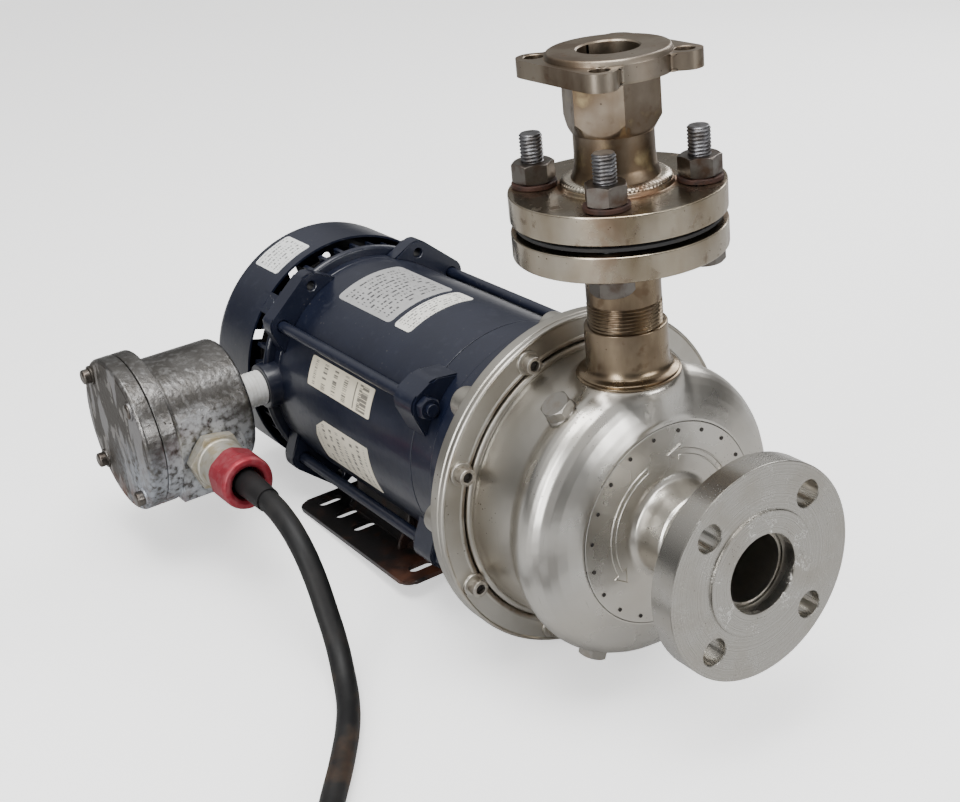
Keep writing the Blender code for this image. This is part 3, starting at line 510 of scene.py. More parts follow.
def turned_steel(name, tone=(0.64, 0.62, 0.585), crust=0.0):
    """Machined faces: rings round the shaft, and a pale crust where water has dried if asked for."""
    steel = Finish(name, tone, 0.23, 1.0)
    marks = steel.effect("turning_marks", Scale=1.6)
    steel.paint(steel.spread(marks, 0.35, 0.65), (tone[0] * 0.66, tone[1] * 0.65, tone[2] * 0.62), 0.6, 0.33)
    stained = tuple(c * s for c, s in zip(tone, (0.74, 0.70, 0.64)))
    steel.paint(steel.effect("blotches", Scale=0.04, From=0.45, To=0.70), stained, 0.6, 0.34)
    if crust:
        near = steel.spread(steel.radius(), CRUST_EDGE, BORE_EDGE)
        patches = steel.spread(steel.noise(0.11, 6.0), 0.54, 0.60)
        grain = steel.spread(steel.noise(0.8, 4.0), 0.50, 0.58)
        on_face = steel.spread(steel.axis("Y"), -102.8, -104.2)
        scattered = steel.both(steel.both(steel.both(near, 0.22, "ADD"), on_face), steel.both(patches, grain))
        steel.paint(scattered, (0.80, 0.79, 0.76), crust, 0.7)
        pits = steel.effect("specks", Scale=0.8, Size=0.35, Patch=0.05)
        steel.paint(steel.both(pits, steel.both(near, 0.3, "ADD")), (0.10, 0.08, 0.06), 0.8, 0.7)
        steel.bump(steel.both(scattered, grain), 0.5, 0.0006)
    steel.paint(steel.effect("specks", Scale=0.3, Size=0.2, Patch=0.04), (0.13, 0.11, 0.09), 0.6, 0.5)
    steel.bump(marks, 0.16, 0.0004)
    return steel.done()


STUD_OFFSET = 31.43         # each flange stud's distance from the pipe's axis, in X and in Y


def heat_tinted(name, gold, brown, roughness, bolted=False, cast=False):
    """Oxide colours that run from gold to brown, in soft bands and stains, with rust round studs and weld."""
    steel = Finish(name, gold, roughness, 1.0)
    steel.paint(steel.effect("blotches", Vector=steel.stretched((1, 1, 0.35)), Scale=0.045, From=0.36, To=0.62), brown,
                0.85, roughness + 0.08)
    pale = tuple(c * s for c, s in zip(gold, (1.1, 1.15, 1.25)))
    steel.paint(steel.effect("blotches", Scale=0.02, From=0.50, To=0.66), pale, 0.55)
    if cast:    # the neck and hexagon below the plate are browner than the plate
        under = steel.spread(steel.axis("Z"), 258, 252)
        steel.paint(steel.both(under, steel.spread(steel.noise(0.03, 4.0), 0.30, 0.62)), (0.105, 0.070, 0.040), 0.8)
        gilt = steel.effect("blotches", Scale=0.06, From=0.56, To=0.70)
        steel.paint(steel.both(under, gilt), (0.36, 0.29, 0.16), 0.6)
    steel.paint(steel.effect("blotches", Scale=0.11, From=0.60, To=0.70, Detail=6.0), (0.10, 0.06, 0.035), 0.5, 0.55)
    steel.paint(steel.effect("specks", Scale=0.28, Size=0.26, Patch=0.04), (0.07, 0.05, 0.035), 0.6, 0.6)
    if bolted:
        for x in (-STUD_OFFSET, STUD_OFFSET):
            for y in (-STUD_OFFSET, STUD_OFFSET):
                near = steel.spread(steel.radius((1, 1, 0), (x, y, 0)), 17.5, 10.0)
                stain = steel.both(near, steel.spread(steel.noise(0.13, 6.0), 0.36, 0.56))
                steel.paint(stain, RUST, 0.75, 0.6)
        weld = steel.effect("band", Value=steel.radius((1, 1, 0)), Low=29.0, High=34.0, Soft=2.0)
        steel.paint(steel.both(weld, steel.spread(steel.noise(0.08, 4.0), 0.40, 0.60)), (0.17, 0.075, 0.03), 0.75, 0.5)
    along = add(steel.tree, "ShaderNodeMapping", Vector=steel.at, Rotation=(math.pi / 2, 0, 0)).outputs[0]
    steel.bump(steel.effect("turning_marks", Vector=along, Scale=1.1), 0.06, 0.0004)
    steel.bump(steel.noise(0.12, 3.0), 0.12, 0.0012)
    return steel.done()


# %% [markdown]
# ## Small finishes and aged zinc
# Nuts, screws, tape and plastics need one colour, one stain and a grain, so one recipe makes them
# all. The junction box is different: old zinc is dark with sharp lights on top, blooms white where water stood,
# and rusts at the bottom, and its cover's paint has come off in streaks.

# %% Small finishes and zinc
def plain(name, colour, roughness, metallic, stain, stain_amount=0.6, scale=0.1, grain=1.0):
    """A simple finish with one stain colour and a fine grain."""
    surface = Finish(name, colour, roughness, metallic)
    surface.paint(surface.effect("blotches", Scale=scale, From=0.45, To=0.65, Detail=6.0), stain, stain_amount,
                  min(roughness + 0.15, 0.95))
    surface.bump(surface.noise(grain, 4.0), 0.15, 0.0004)
    return surface.done()


def box_casting(name, face=False):
    """Aged zinc: dark and mottled with sharp lights, white bloom low down and round the hub, rust below."""
    zinc = Finish(name, (0.15, 0.145, 0.14), 0.27, 0.92)
    zinc.paint(zinc.effect("blotches", Scale=0.05, From=0.40, To=0.60, Detail=8.0), (0.075, 0.070, 0.064), 0.8, 0.36)
    zinc.paint(zinc.effect("blotches", Scale=0.22, From=0.50, To=0.66, Detail=8.0), (0.30, 0.30, 0.30), 0.4, 0.38)
    if face:
        outer_face = zinc.spread(zinc.axis("X"), -197.6, -198.3)
        zinc.paint(outer_face, (0.27, 0.262, 0.265), 0.85, 0.42)
        streaks = zinc.effect("blotches", Vector=zinc.stretched((1, 1, 0.3)), Scale=0.045, From=0.47, To=0.50,
                              Detail=10.0)
        zinc.paint(zinc.both(outer_face, streaks), (0.060, 0.052, 0.042), 0.9, 0.5)
        peeled = zinc.effect("blotches", Vector=zinc.stretched((1, 1, 0.5)), Scale=0.16, From=0.58, To=0.60,
                             Detail=10.0)
        zinc.paint(zinc.both(outer_face, peeled), (0.34, 0.325, 0.31), 0.8, 0.6)
    bloom = zinc.both(zinc.spread(zinc.axis("Z"), 14, -16), zinc.spread(zinc.axis("Y"), 335, 290))
    grain = zinc.spread(zinc.noise(0.26, 8.0), 0.36, 0.58)
    zinc.paint(zinc.both(bloom, grain), (0.46, 0.49, 0.54), 0.85, 0.62)
    hub_area = zinc.spread(zinc.radius((1, 1, 1), (-154, 276, -14)), 44.0, 24.0)
    zinc.paint(zinc.both(hub_area, grain), (0.62, 0.64, 0.67), 0.85, 0.7)
    low = zinc.spread(zinc.axis("Z"), -26, -44)
    zinc.paint(zinc.both(low, zinc.spread(zinc.noise(0.09, 6.0), 0.42, 0.56)), (0.16, 0.062, 0.026), 0.8, 0.65)
    zinc.paint(zinc.effect("specks", Scale=0.3, Size=0.3, Patch=0.06), (0.03, 0.025, 0.02), 0.7, 0.7)
    zinc.bump(zinc.noise(0.3, 6.0), 0.4, 0.0010)
    return zinc.done()


FINISH = {
    "enamel": motor_enamel(), "foot": foot_enamel(), "ring": ring_casting(), "sheet": pressed_sheet(),
    "suction": turned_steel("suction_turned_steel", (0.50, 0.485, 0.455), crust=0.8),
    "neck": turned_steel("neck_turned_steel"),
    "stack_flange": heat_tinted("flange_tint", (0.42, 0.37, 0.29), (0.24, 0.185, 0.12), 0.19, bolted=True),
    "stack_pipe": heat_tinted("pipe_tint", (0.29, 0.225, 0.15), (0.105, 0.075, 0.05), 0.25),
    "end_piece": heat_tinted("end_piece_tint", (0.29, 0.245, 0.19), (0.115, 0.080, 0.052), 0.34, cast=True),
    "weld": plain("weld_bead_steel", (0.62, 0.57, 0.48), 0.22, 1.0, (0.15, 0.075, 0.035), 0.9, 0.05, 0.9),
    "stud": plain("stud_zinc", (0.20, 0.20, 0.21), 0.36, 1.0, (0.055, 0.045, 0.038), 0.75, 0.15, 1.2),
    "nut": plain("nut_steel", (0.17, 0.155, 0.14), 0.30, 1.0, (0.07, 0.038, 0.022), 0.8, 0.10, 0.9),
    "washer": plain("rusty_washer", (0.040, 0.015, 0.009), 0.6, 0.3, (0.018, 0.010, 0.008), 0.85, 0.2, 1.2),
    "screw": plain("screw_steel", (0.50, 0.47, 0.42), 0.32, 1.0, (0.16, 0.12, 0.09), 0.6, 0.18, 1.5),
    "plug": plain("plug_steel", (0.31, 0.295, 0.27), 0.38, 1.0, (0.22, 0.19, 0.16), 0.6, 0.15, 1.2),
    # near black: the spot welds' own burnt colour, and painted shade in the screw sockets
    "dark": plain("dark_socket", (0.016, 0.013, 0.011), 0.7, 0.0, GRIME, 0.5),
    "box": box_casting("box_casting"), "cover": box_casting("box_cover_casting", face=True),
    "galvanised": plain("galvanised_gland", (0.52, 0.50, 0.44), 0.46, 0.8, (0.34, 0.28, 0.17), 0.75, 0.14, 1.0),
    "red": plain("red_gland_anodising", (0.30, 0.026, 0.040), 0.38, 0.5, (0.36, 0.10, 0.115), 0.5, 0.2, 1.2),
    "tape": plain("tape_wrap", (0.78, 0.78, 0.76), 0.6, 0.0, (0.50, 0.46, 0.40), 0.4, 0.15, 1.2),
    "fan": plain("fan_moulding", (0.018, 0.018, 0.019), 0.45, 0.0, (0.05, 0.045, 0.04), 0.5, 0.05),
    # the gasket's black, and painted shade in the gap between the flanges
    "carbon": plain("gasket_and_gap_shade", (0.02, 0.02, 0.021), 0.7, 0.0, (0.04, 0.038, 0.035), 0.5),
    "ground": plain("ground_steel", (0.55, 0.55, 0.55), 0.25, 1.0, (0.35, 0.33, 0.30), 0.4),
    "laminated": plain("core_lamination", (0.24, 0.24, 0.25), 0.45, 0.9, (0.14, 0.10, 0.08), 0.5),
    "wire": plain("winding_copper", (0.60, 0.25, 0.10), 0.32, 1.0, (0.30, 0.12, 0.05), 0.5),
}
print(len(FINISH), "finishes")

# %% [markdown]
# ## Rubber and floor
# The cable's rubber is dull black, browner where it lies on the bench. The floor is grey for the metal that mirrors
# it, so that the pump keeps dark undersides, but a camera ray finds it brighter, as a white sheet would look.

# %% Rubber and floor
def rubber():
    black = Finish("cable_rubber", (0.008, 0.008, 0.0085), 0.50, 0.0, specular=0.28)
    black.paint(black.effect("blotches", Scale=0.06, From=0.45, To=0.70, Detail=6.0), (0.018, 0.017, 0.0165), 0.7,
                0.62)
    dirt = black.both(black.spread(black.axis("Z"), -70, -112), black.spread(black.noise(0.03, 5.0), 0.46, 0.60))
    black.paint(dirt, (0.085, 0.048, 0.026), 0.8, 0.75)
    black.bump(black.noise(0.6, 3.0), 0.12, 0.0004)
    return black.done()


FINISH["rubber"] = rubber()
cable_run.data.materials.append(FINISH["rubber"])
FLOOR_GLOW = 0.8
floor_finish = Finish("pale_floor", (0.42, 0.42, 0.42), 0.75, 0.0, specular=0.2)
floor_finish.paint(floor_finish.effect("blotches", Scale=0.004, From=0.3, To=0.8), (0.40, 0.40, 0.40), 0.5)
seen_directly = add(floor_finish.tree, "ShaderNodeLightPath").outputs["Is Camera Ray"]
floor_finish.paint(seen_directly, (0.98, 0.98, 0.98))
floor_finish.shader.inputs["Emission Color"].default_value = (1, 1, 1, 1)
floor_finish.tree.links.new(floor_finish.both(seen_directly, FLOOR_GLOW),
                            floor_finish.shader.inputs["Emission Strength"])
floor.data.materials.append(floor_finish.done())
print("rubber and floor are ready")

# %% [markdown]
# ## Turned pieces
# Most of a pump is turned on a lathe, so most of this model is too: a profile of radius and distance along the
# axis, its corners rounded as a lathe tool leaves them, spun into rings of faces. Holes are cut with a Boolean,
# whose cutter flares at both ends for the drilled hole's chamfer.

# %% Making turned pieces
ALONG_Z = Matrix.Identity(4)
ALONG_Y = Matrix.Rotation(-math.pi / 2, 4, "X")
ALONG_X = Matrix.Rotation(math.pi / 2, 4, "Y")
FINE, ROUND, SMALL = 128, 64, 32        # sides of a big, a middling and a small round piece
TINY, ALMOST_STRAIGHT = 1e-6, math.radians(165)


def rounded(profile, radius, arc=3):
    """The profile with each corner replaced by a short arc, never longer than a third of its sides."""
    points, result = [Vector(p) for p in profile], []
    count = len(points)
    for i, corner in enumerate(points):
        before, after = points[i - 1], points[(i + 1) % count]
        if corner.x < TINY:
            result.append(corner)
            continue
        to_before, to_after = before - corner, after - corner
        if to_before.length < TINY or to_after.length < TINY or to_before.angle(to_after) > ALMOST_STRAIGHT:
            result.append(corner)
            continue
        cut = min(radius, to_before.length / 3, to_after.length / 3)
        start, end = corner + to_before.normalized() * cut, corner + to_after.normalized() * cut
        for step in range(arc + 1):
            t = step / arc
            result.append(start * (1 - t) ** 2 + corner * 2 * t * (1 - t) + end * t * t)
    return [(p.x, p.y) for p in result]


def spun(profile, sides, turn=ALONG_Z, at=(0, 0, 0)):
    """A bmesh of the closed profile spun round Z, in millimetres, then turned and moved."""
    shape = bmesh.new()
    rings = []
    for radius, along in profile:
        if radius < TINY:
            rings.append([shape.verts.new((0, 0, along))])
        else:
            rings.append([shape.verts.new((radius * math.cos(2 * math.pi * i / sides),
                                           radius * math.sin(2 * math.pi * i / sides), along)) for i in range(sides)])
    pairs = list(zip(rings, rings[1:] + rings[:1]))
    for low, high in pairs:
        for i in range(sides):
            j = (i + 1) % sides
            if len(low) == 1 and len(high) == 1:
                break
            if len(low) == 1:
                shape.faces.new((low[0], high[j], high[i]))
            elif len(high) == 1:
                shape.faces.new((low[i], low[j], high[0]))
            else:
                shape.faces.new((low[i], low[j], high[j], high[i]))
    bmesh.ops.recalc_face_normals(shape, faces=shape.faces)
    shape.transform(Matrix.Translation(Vector(at)) @ turn)
    return shape


def prism(outline, low, high, turn=ALONG_Z, at=(0, 0, 0), chamfer=0.0):
    """A bmesh of an outline raised along Z, with its rims bevelled, then turned and moved."""
    shape = bmesh.new()
    bottom = [shape.verts.new((x, y, low)) for x, y in outline]
    top = [shape.verts.new((x, y, high)) for x, y in outline]
    count = len(outline)
    shape.faces.new(list(reversed(bottom)))
    shape.faces.new(top)
    for i in range(count):
        j = (i + 1) % count
        shape.faces.new((bottom[i], bottom[j], top[j], top[i]))
    if chamfer:
        rims = [edge for edge in shape.edges if abs(edge.verts[0].co.z - edge.verts[1].co.z) < TINY]
        bmesh.ops.bevel(shape, geom=rims, offset=chamfer, segments=2, affect="EDGES", clamp_overlap=True)
    bmesh.ops.recalc_face_normals(shape, faces=shape.faces)
    shape.transform(Matrix.Translation(Vector(at)) @ turn)
    return shape


# %% [markdown]
# Turned and raised shapes are joined and cut before they become pieces. A Boolean needs objects, so each shape is
# one only for as long as that takes.

# %% Joining and cutting
def merged(*shapes):
    """Several bmeshes as one, without joining their surfaces."""
    whole = shapes[0]
    for other in shapes[1:]:
        data = bpy.data.meshes.new("merge")
        other.to_mesh(data)
        other.free()
        whole.from_mesh(data)
        bpy.data.meshes.remove(data)
    return whole


def loose_object(name, shape):
    """An object in millimetres that is still being worked on."""
    mesh = bpy.data.meshes.new(name)
    shape.to_mesh(mesh)
    shape.free()
    obj = bpy.data.objects.new(name, mesh)
    bpy.context.scene.collection.objects.link(obj)
    return obj


def baked(obj):
    """The object's mesh with its modifiers applied; the object itself is removed."""
    mesh = bpy.data.meshes.new_from_object(obj.evaluated_get(bpy.context.evaluated_depsgraph_get()))
    bpy.data.objects.remove(obj, do_unlink=True)
    return mesh


def combined(shape, tool, operation="DIFFERENCE"):
    """A Boolean between two bmeshes, as a new bmesh."""
    body, other = loose_object("body", shape), loose_object("tool", tool)
    cut = body.modifiers.new("cut", "BOOLEAN")
    cut.operation, cut.solver, cut.object = operation, "EXACT", other
    mesh = baked(body)
    bpy.data.objects.remove(other, do_unlink=True)
    result = bmesh.new()
    result.from_mesh(mesh)
    bpy.data.meshes.remove(mesh)
    return result


# %% [markdown]
# Every piece is finished the same way: doubled points go, millimetres become metres, edges over an angle stay
# sharp, and the finish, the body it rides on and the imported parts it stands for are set.

# %% Finishing a piece
def piece(name, shape, finish, nodes=(), body="root", sharp=32):
    """A finished piece: in the frame's metres, shaded, painted, riding on its body and standing for its nodes."""
    bmesh.ops.remove_doubles(shape, verts=shape.verts, dist=0.002)
    bmesh.ops.dissolve_degenerate(shape, edges=shape.edges, dist=0.001)
    shape.transform(Matrix.Translation(SHAFT) @ Matrix.Scale(MM, 4))
    obj = loose_object(name, shape)
    for side in obj.data.polygons:
        side.use_smooth = True
    obj.data.set_sharp_from_angle(angle=math.radians(sharp))
    weighted = obj.modifiers.new("normals", "WEIGHTED_NORMAL")
    weighted.keep_sharp = True
    mesh = baked(obj)
    mesh.name = name
    obj = bpy.data.objects.new(name, mesh)
    bpy.context.scene.collection.objects.link(obj)
    mesh.materials.clear()
    mesh.materials.append(FINISH[finish])
    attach(obj, body)
    if nodes:
        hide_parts(*([nodes] if isinstance(nodes, str) else nodes))
    print(name, len(mesh.polygons), "faces")
    return obj


def polar(radius, angle):
    return radius * math.cos(math.radians(angle)), radius * math.sin(math.radians(angle))


def hole_cutters(radius, low, high, pitch, angles, turn, chamfer, reach=4.0):
    """Cutters for a ring of chamfered holes; low and high are the faces that they break through."""
    profile = [(0, low - reach), (radius + chamfer + reach, low - reach), (radius, low + chamfer),
               (radius, high - chamfer), (radius + chamfer + reach, high + reach), (0, high + reach)]
    shapes = []
    for angle in angles:
        u, v = polar(pitch, angle)
        shapes.append(spun(profile, SMALL, turn, turn @ Vector((u, v, 0))))
    return merged(*shapes)


# %% [markdown]
# ## Copies round the shaft
# Screws, spot welds and ribs repeat round the shaft, which is what Geometry Nodes are for. The tree turns a row of
# points into a circle, gives each point its angle and a random twist, sets a copy of the piece on each and
# realises them, so that the result is one plain mesh.

# %% Geometry Nodes tree for copies round the shaft
def build_copies_tree():
    tree = bpy.data.node_groups.new("copies_round_shaft", "GeometryNodeTree")
    face = tree.interface
    face.new_socket("Geometry", in_out="INPUT", socket_type="NodeSocketGeometry")
    for socket, kind, value in (("Count", "Int", 8), ("Pitch Radius", "Float", 1.0), ("Start", "Float", 0.0),
                                ("Along", "Float", 0.0), ("Twist", "Float", 0.0), ("Seed", "Int", 1)):
        face.new_socket(socket, in_out="INPUT", socket_type=f"NodeSocket{kind}").default_value = value
    face.new_socket("Material", in_out="INPUT", socket_type="NodeSocketMaterial")
    face.new_socket("Geometry", in_out="OUTPUT", socket_type="NodeSocketGeometry")
    given, sink = add(tree, "NodeGroupInput").outputs, add(tree, "NodeGroupOutput")
    index = add(tree, "GeometryNodeInputIndex").outputs[0]
    step = maths(tree, "DIVIDE", 2 * math.pi, given["Count"])
    angle = maths(tree, "ADD", maths(tree, "MULTIPLY", index, step), given["Start"])
    place_at = add(tree, "ShaderNodeCombineXYZ",
                   X=maths(tree, "MULTIPLY", maths(tree, "COSINE", angle), given["Pitch Radius"]), Y=given["Along"],
                   Z=maths(tree, "MULTIPLY", maths(tree, "SINE", angle), given["Pitch Radius"]))
    points = add(tree, "GeometryNodePoints", Count=given["Count"], Position=place_at.outputs[0])
    twist = add(tree, "FunctionNodeRandomValue", {"data_type": "FLOAT"}, Seed=given["Seed"])
    around = maths(tree, "ADD", maths(tree, "SUBTRACT", math.pi / 2, angle),
                   maths(tree, "MULTIPLY", twist.outputs[1], given["Twist"]))
    turned = add(tree, "ShaderNodeCombineXYZ", Y=around)
    copies = add(tree, "GeometryNodeInstanceOnPoints", Points=points.outputs[0], Instance=given["Geometry"],
                 Rotation=turned.outputs[0])
    real = add(tree, "GeometryNodeRealizeInstances", Geometry=copies.outputs[0])
    painted = add(tree, "GeometryNodeSetMaterial", Geometry=real.outputs[0], Material=given["Material"])
    tree.links.new(painted.outputs[0], sink.inputs[0])
    return tree


COPIES = build_copies_tree()


def round_shaft(shape, count, pitch, along, start=0.0, twist=0.0, seed=1, finish="screw"):
    """Copies of a bmesh in a ring round the shaft, as one bmesh; its +Z side ends up away from the shaft."""
    obj = loose_object("copies", shape)
    modifier = obj.modifiers.new("copies", "NODES")
    modifier.node_group = COPIES
    values = {"Count": count, "Pitch Radius": float(pitch), "Start": math.radians(start), "Along": float(along),
              "Twist": float(twist), "Seed": seed, "Material": FINISH[finish]}
    for item in COPIES.interface.items_tree:
        if item.item_type == "SOCKET" and item.in_out == "INPUT" and item.name in values:
            modifier[item.identifier] = values[item.name]
    mesh = baked(obj)
    result = bmesh.new()
    result.from_mesh(mesh)
    print(count, "copies round the shaft")
    return result


# %% [markdown]
# ## The suction flange
# A class 150 flange is turned from a forging: a raised face, a square rim and a short hub at the back. Fine rings
# from the tool show on its faces, and dried water has left a pale crust round the bore.

# %% Suction flange
FACE_Y, FLANGE_BACK_Y, RAISED_FACE = -105.6, -88.1, 1.6
RIM_Y, HUB_Y = FACE_Y + RAISED_FACE, FLANGE_BACK_Y + 4.9
FLANGE_R, FLANGE_HOLE_R, HOLE_CIRCLE, FLANGE_ANGLES = 63.5, 7.95, 49.2, (45, 135, 225, 315)
profile = [(36.5, FACE_Y), (36.5, RIM_Y), (FLANGE_R, RIM_Y), (FLANGE_R, FLANGE_BACK_Y), (34.5, FLANGE_BACK_Y),
           (32.5, HUB_Y), (24.3, HUB_Y), (24.3, -96.3), (22.6, -96.3), (23.2, FACE_Y)]
flange = spun(rounded(profile, 0.9), FINE, ALONG_Y)
flange = combined(flange, hole_cutters(FLANGE_HOLE_R, RIM_Y, FLANGE_BACK_Y, HOLE_CIRCLE, FLANGE_ANGLES, ALONG_Y, 0.5))
piece("suction_flange_turned", flange, "suction", "suction_flange")

# %% [markdown]
# ## Threads
# A thread is a helix, so it is drawn as a height over a cylinder: going once round raises it by one pitch. A grid
# of points follows that rule, and its two ends are closed.

# %% Threaded rods
ROWS_PER_TURN, THREAD_CHAMFER = 5, 1.2


def threaded(radius, low, high, pitch, depth, turn=ALONG_Z, at=(0, 0, 0), sides=28, inner=0.0):
    """A rod with a helical thread, chamfered at both ends; with inner it is a tube."""
    shape = bmesh.new()
    rows = int((high - low) / pitch * ROWS_PER_TURN)
    rings = []
    for row in range(rows + 1):
        z = low + (high - low) * row / rows
        ring = []
        for i in range(sides):
            a = 2 * math.pi * i / sides
            phase = (z / pitch - i / sides) % 1.0
            groove = depth * (1 - min(abs(phase - 0.5) * 2 * 1.25, 1.0))
            taper = max(0.0, 1 - min(z - low, high - z) / THREAD_CHAMFER) * depth * 1.2
            r = radius - max(groove, taper)
            ring.append(shape.verts.new((r * math.cos(a), r * math.sin(a), z)))
        rings.append(ring)
    if inner:
        for z in (high, low):
            rings.append([shape.verts.new((inner * math.cos(2 * math.pi * i / sides),
                                           inner * math.sin(2 * math.pi * i / sides), z)) for i in range(sides)])
        pairs = list(zip(rings, rings[1:] + rings[:1]))
    else:
        pairs = list(zip(rings, rings[1:]))
        shape.faces.new(list(reversed(rings[0])))
        shape.faces.new(rings[-1])
    for a_ring, b_ring in pairs:
        for i in range(sides):
            j = (i + 1) % sides
            shape.faces.new((a_ring[i], a_ring[j], b_ring[j], b_ring[i]))
    bmesh.ops.recalc_face_normals(shape, faces=shape.faces)
    shape.transform(Matrix.Translation(Vector(at)) @ turn)
    return shape


# %% [markdown]
# ## The front cover
# The cover is a disc with a drawn neck. It is spot welded near its rim, and three arrows pressed into it show
# which way the impeller turns. The arrows could be carved, but a thin rope of metal laid along an outline reads
# as an embossed line and leaves the disc a plain turned shape.

# %% Front cover, neck and spot welds
DISC_FACE = -30.4
ON_DISC = DISC_FACE - 0.05
profile = [(61.5, DISC_FACE + 0.5), (61.5, -27.4), (20.5, -27.4), (20.5, -58), (25.4, -58), (25.6, -52), (26.6, -50.5),
           (26.9, -40), (27.4, -36), (28.6, -33), (31.0, -31.2), (34, DISC_FACE)]
piece("front_cover", spun(rounded(profile, 0.8), FINE, ALONG_Y), "sheet", "suction_cover")
neck = threaded(24.6, -95.6, -58.2, 2.2, 0.9, ALONG_Y, sides=72, inner=20.5)
piece("suction_neck_thread", neck, "neck")

SPOTS, SPOT_PITCH = 20, 57.0
dot = spun([(0, -0.2), (1.0, -0.15), (1.25, 0.1), (0, 0.25)], 12, ALONG_Y)
piece("spot_welds", round_shaft(dot, SPOTS, SPOT_PITCH, ON_DISC, 9, finish="dark"), "dark")


def curved_arrow(middle_angle, span, radius):
    """The raised outline of a curved arrow on the disc, as a thin rope of metal."""
    half, head, long_head = 1.7, 4.7, 8.5       # half the shaft's width, half the head's width, the head's length
    tip = middle_angle + span / 2
    neck_angle = tip - math.degrees(long_head / radius)
    tail = middle_angle - span / 2
    count = 12
    outer = [polar(radius + half, tail + (neck_angle - tail) * i / count) for i in range(count + 1)]
    inner = [polar(radius - half, neck_angle + (tail - neck_angle) * i / count) for i in range(count + 1)]
    arrowhead = [polar(radius + head, neck_angle), polar(radius, tip), polar(radius - head, neck_angle)]
    path_points = outer + arrowhead + inner
    curve = bpy.data.curves.new("arrow", "CURVE")
    curve.dimensions, curve.bevel_depth, curve.bevel_resolution = "3D", 0.55, 2
    line = curve.splines.new("POLY")
    line.points.add(len(path_points) - 1)
    for point, (x, z) in zip(line.points, path_points):
        point.co = (x, ON_DISC, z, 1)
    line.use_cyclic_u = True
    obj = bpy.data.objects.new("arrow", curve)
    bpy.context.scene.collection.objects.link(obj)
    mesh = baked(obj)
    result = bmesh.new()
    result.from_mesh(mesh)
    return result


ARROWS = ((60, 60, 44), (163, 106, 42), (290, 60, 44))      # middle angle, span, radius
arrows = merged(*[curved_arrow(*arrow) for arrow in ARROWS])
piece("turning_arrows", arrows, "sheet", sharp=60)

# %% [markdown]
# ## The pressed casing
# The casing is one pressed shell. Its shape follows a rule: a turned profile, lifted near the discharge into a
# neck that flows out of the bulge. A smooth maximum of the two heights gives the soft hollows between them.

# %% The casing's profile
CASING = [(90.0, 51.3), (90.0, 45.6), (89.6, 45.0), (88.6, 44.3), (87.4, 44.2), (86.7, 44.9), (86.3, 44.0), (85.9, 41),
          (85.5, 34), (85.1, 24), (84.8, 14), (84.7, 9.5), (85.1, 7.2), (86.3, 4.2), (87.8, 1.2), (88.9, -1.6),
          (89.6, -4.4), (89.75, -6.4), (89.5, -8.8), (88.6, -11.8), (87.0, -15.0), (84.6, -18.2), (81.0, -21.4),
          (76.5, -24.2), (71.0, -26.6), (65.5, -28.6), (62.6, -29.5), (61.8, -29.4)]
CASING_WALL = [(61.8, -27.2), (73.5, -22.9), (82.6, -16.4), (86.4, -10.2), (87.2, -5.4), (85.9, -1.6), (82.3, 9),
               (83.1, 38), (83.6, 51.3)]
NECK_R, NECK_TOP, NECK_BLEND, NECK_FLARE = 29.6, 87.3, 6.0, 0.07
print(len(CASING), "points outside,", len(CASING_WALL), "inside")


# %% The neck's rule
def dense(points, spacing):
    result = []
    for a, b in zip(points, points[1:]):
        count = max(1, round(math.dist(a, b) / spacing))
        result += [(a[0] + (b[0] - a[0]) * i / count, a[1] + (b[1] - a[1]) * i / count) for i in range(count)]
    return result + [points[-1]]


def soft_maximum(a, b, width):
    gap = max(width - abs(a - b), 0.0) / width
    return max(a, b) + gap * gap * width / 4


def neck_distance(point):
    """How far a point is outside the discharge neck, a short upright cylinder with a rounded rim."""
    reach = math.hypot(point.x, point.y)
    return soft_maximum(reach - NECK_R - NECK_FLARE * (80 - point.z), point.z - NECK_TOP, 5.0)


def crowd_near_top(shape, strength):
    """Turns the shell's points towards the discharge side, where its shape needs more of them."""
    for vertex in shape.verts:
        x, y, z = vertex.co
        radius, angle = math.hypot(x, z), math.atan2(x, z)
        angle -= strength * math.sin(angle)
        vertex.co = (radius * math.sin(angle), y, radius * math.cos(angle))


def raise_neck(shape, outer_count):
    """Pushes the shell outwards to the neck's surface, with a soft hollow where the two meet."""
    shape.normal_update()
    moves = []
    for vertex in list(shape.verts)[:outer_count]:
        start, away = vertex.co.copy(), vertex.normal.copy()
        gap = neck_distance(start)
        if start.z < 45 or gap > NECK_BLEND:
            continue
        push = -gap
        if gap < 0:
            push = 0.0
            while push < 40 and neck_distance(start + away * push) < 0:
                push += 0.2
        hold = ease(math.hypot(start.x, start.z), 62.3, 65.0)
        moves.append((vertex, away * soft_maximum(0.0, push, NECK_BLEND) * hold))
    for vertex, move in moves:
        vertex.co += move


# %% The shell, its neck and the collar
POINT_SPACING, CASING_SIDES, CROWDING = 0.8, 340, 0.62
outer = dense(CASING, POINT_SPACING)
shell = spun(outer + CASING_WALL, CASING_SIDES, ALONG_Y)
shell.verts.ensure_lookup_table()
crowd_near_top(shell, CROWDING)
raise_neck(shell, len(outer) * CASING_SIDES)
near_neck = [v for v in shell.verts if v.co.z > 55 and math.hypot(v.co.x, v.co.y) < 42 and v.co.y < 40
             and math.hypot(v.co.x, v.co.z) > 64.5]
for _ in range(3):
    bmesh.ops.smooth_vert(shell, verts=near_neck, factor=0.5, use_axis_x=True, use_axis_y=True, use_axis_z=True)
piece("pressed_casing", shell, "sheet", "casing", sharp=50)

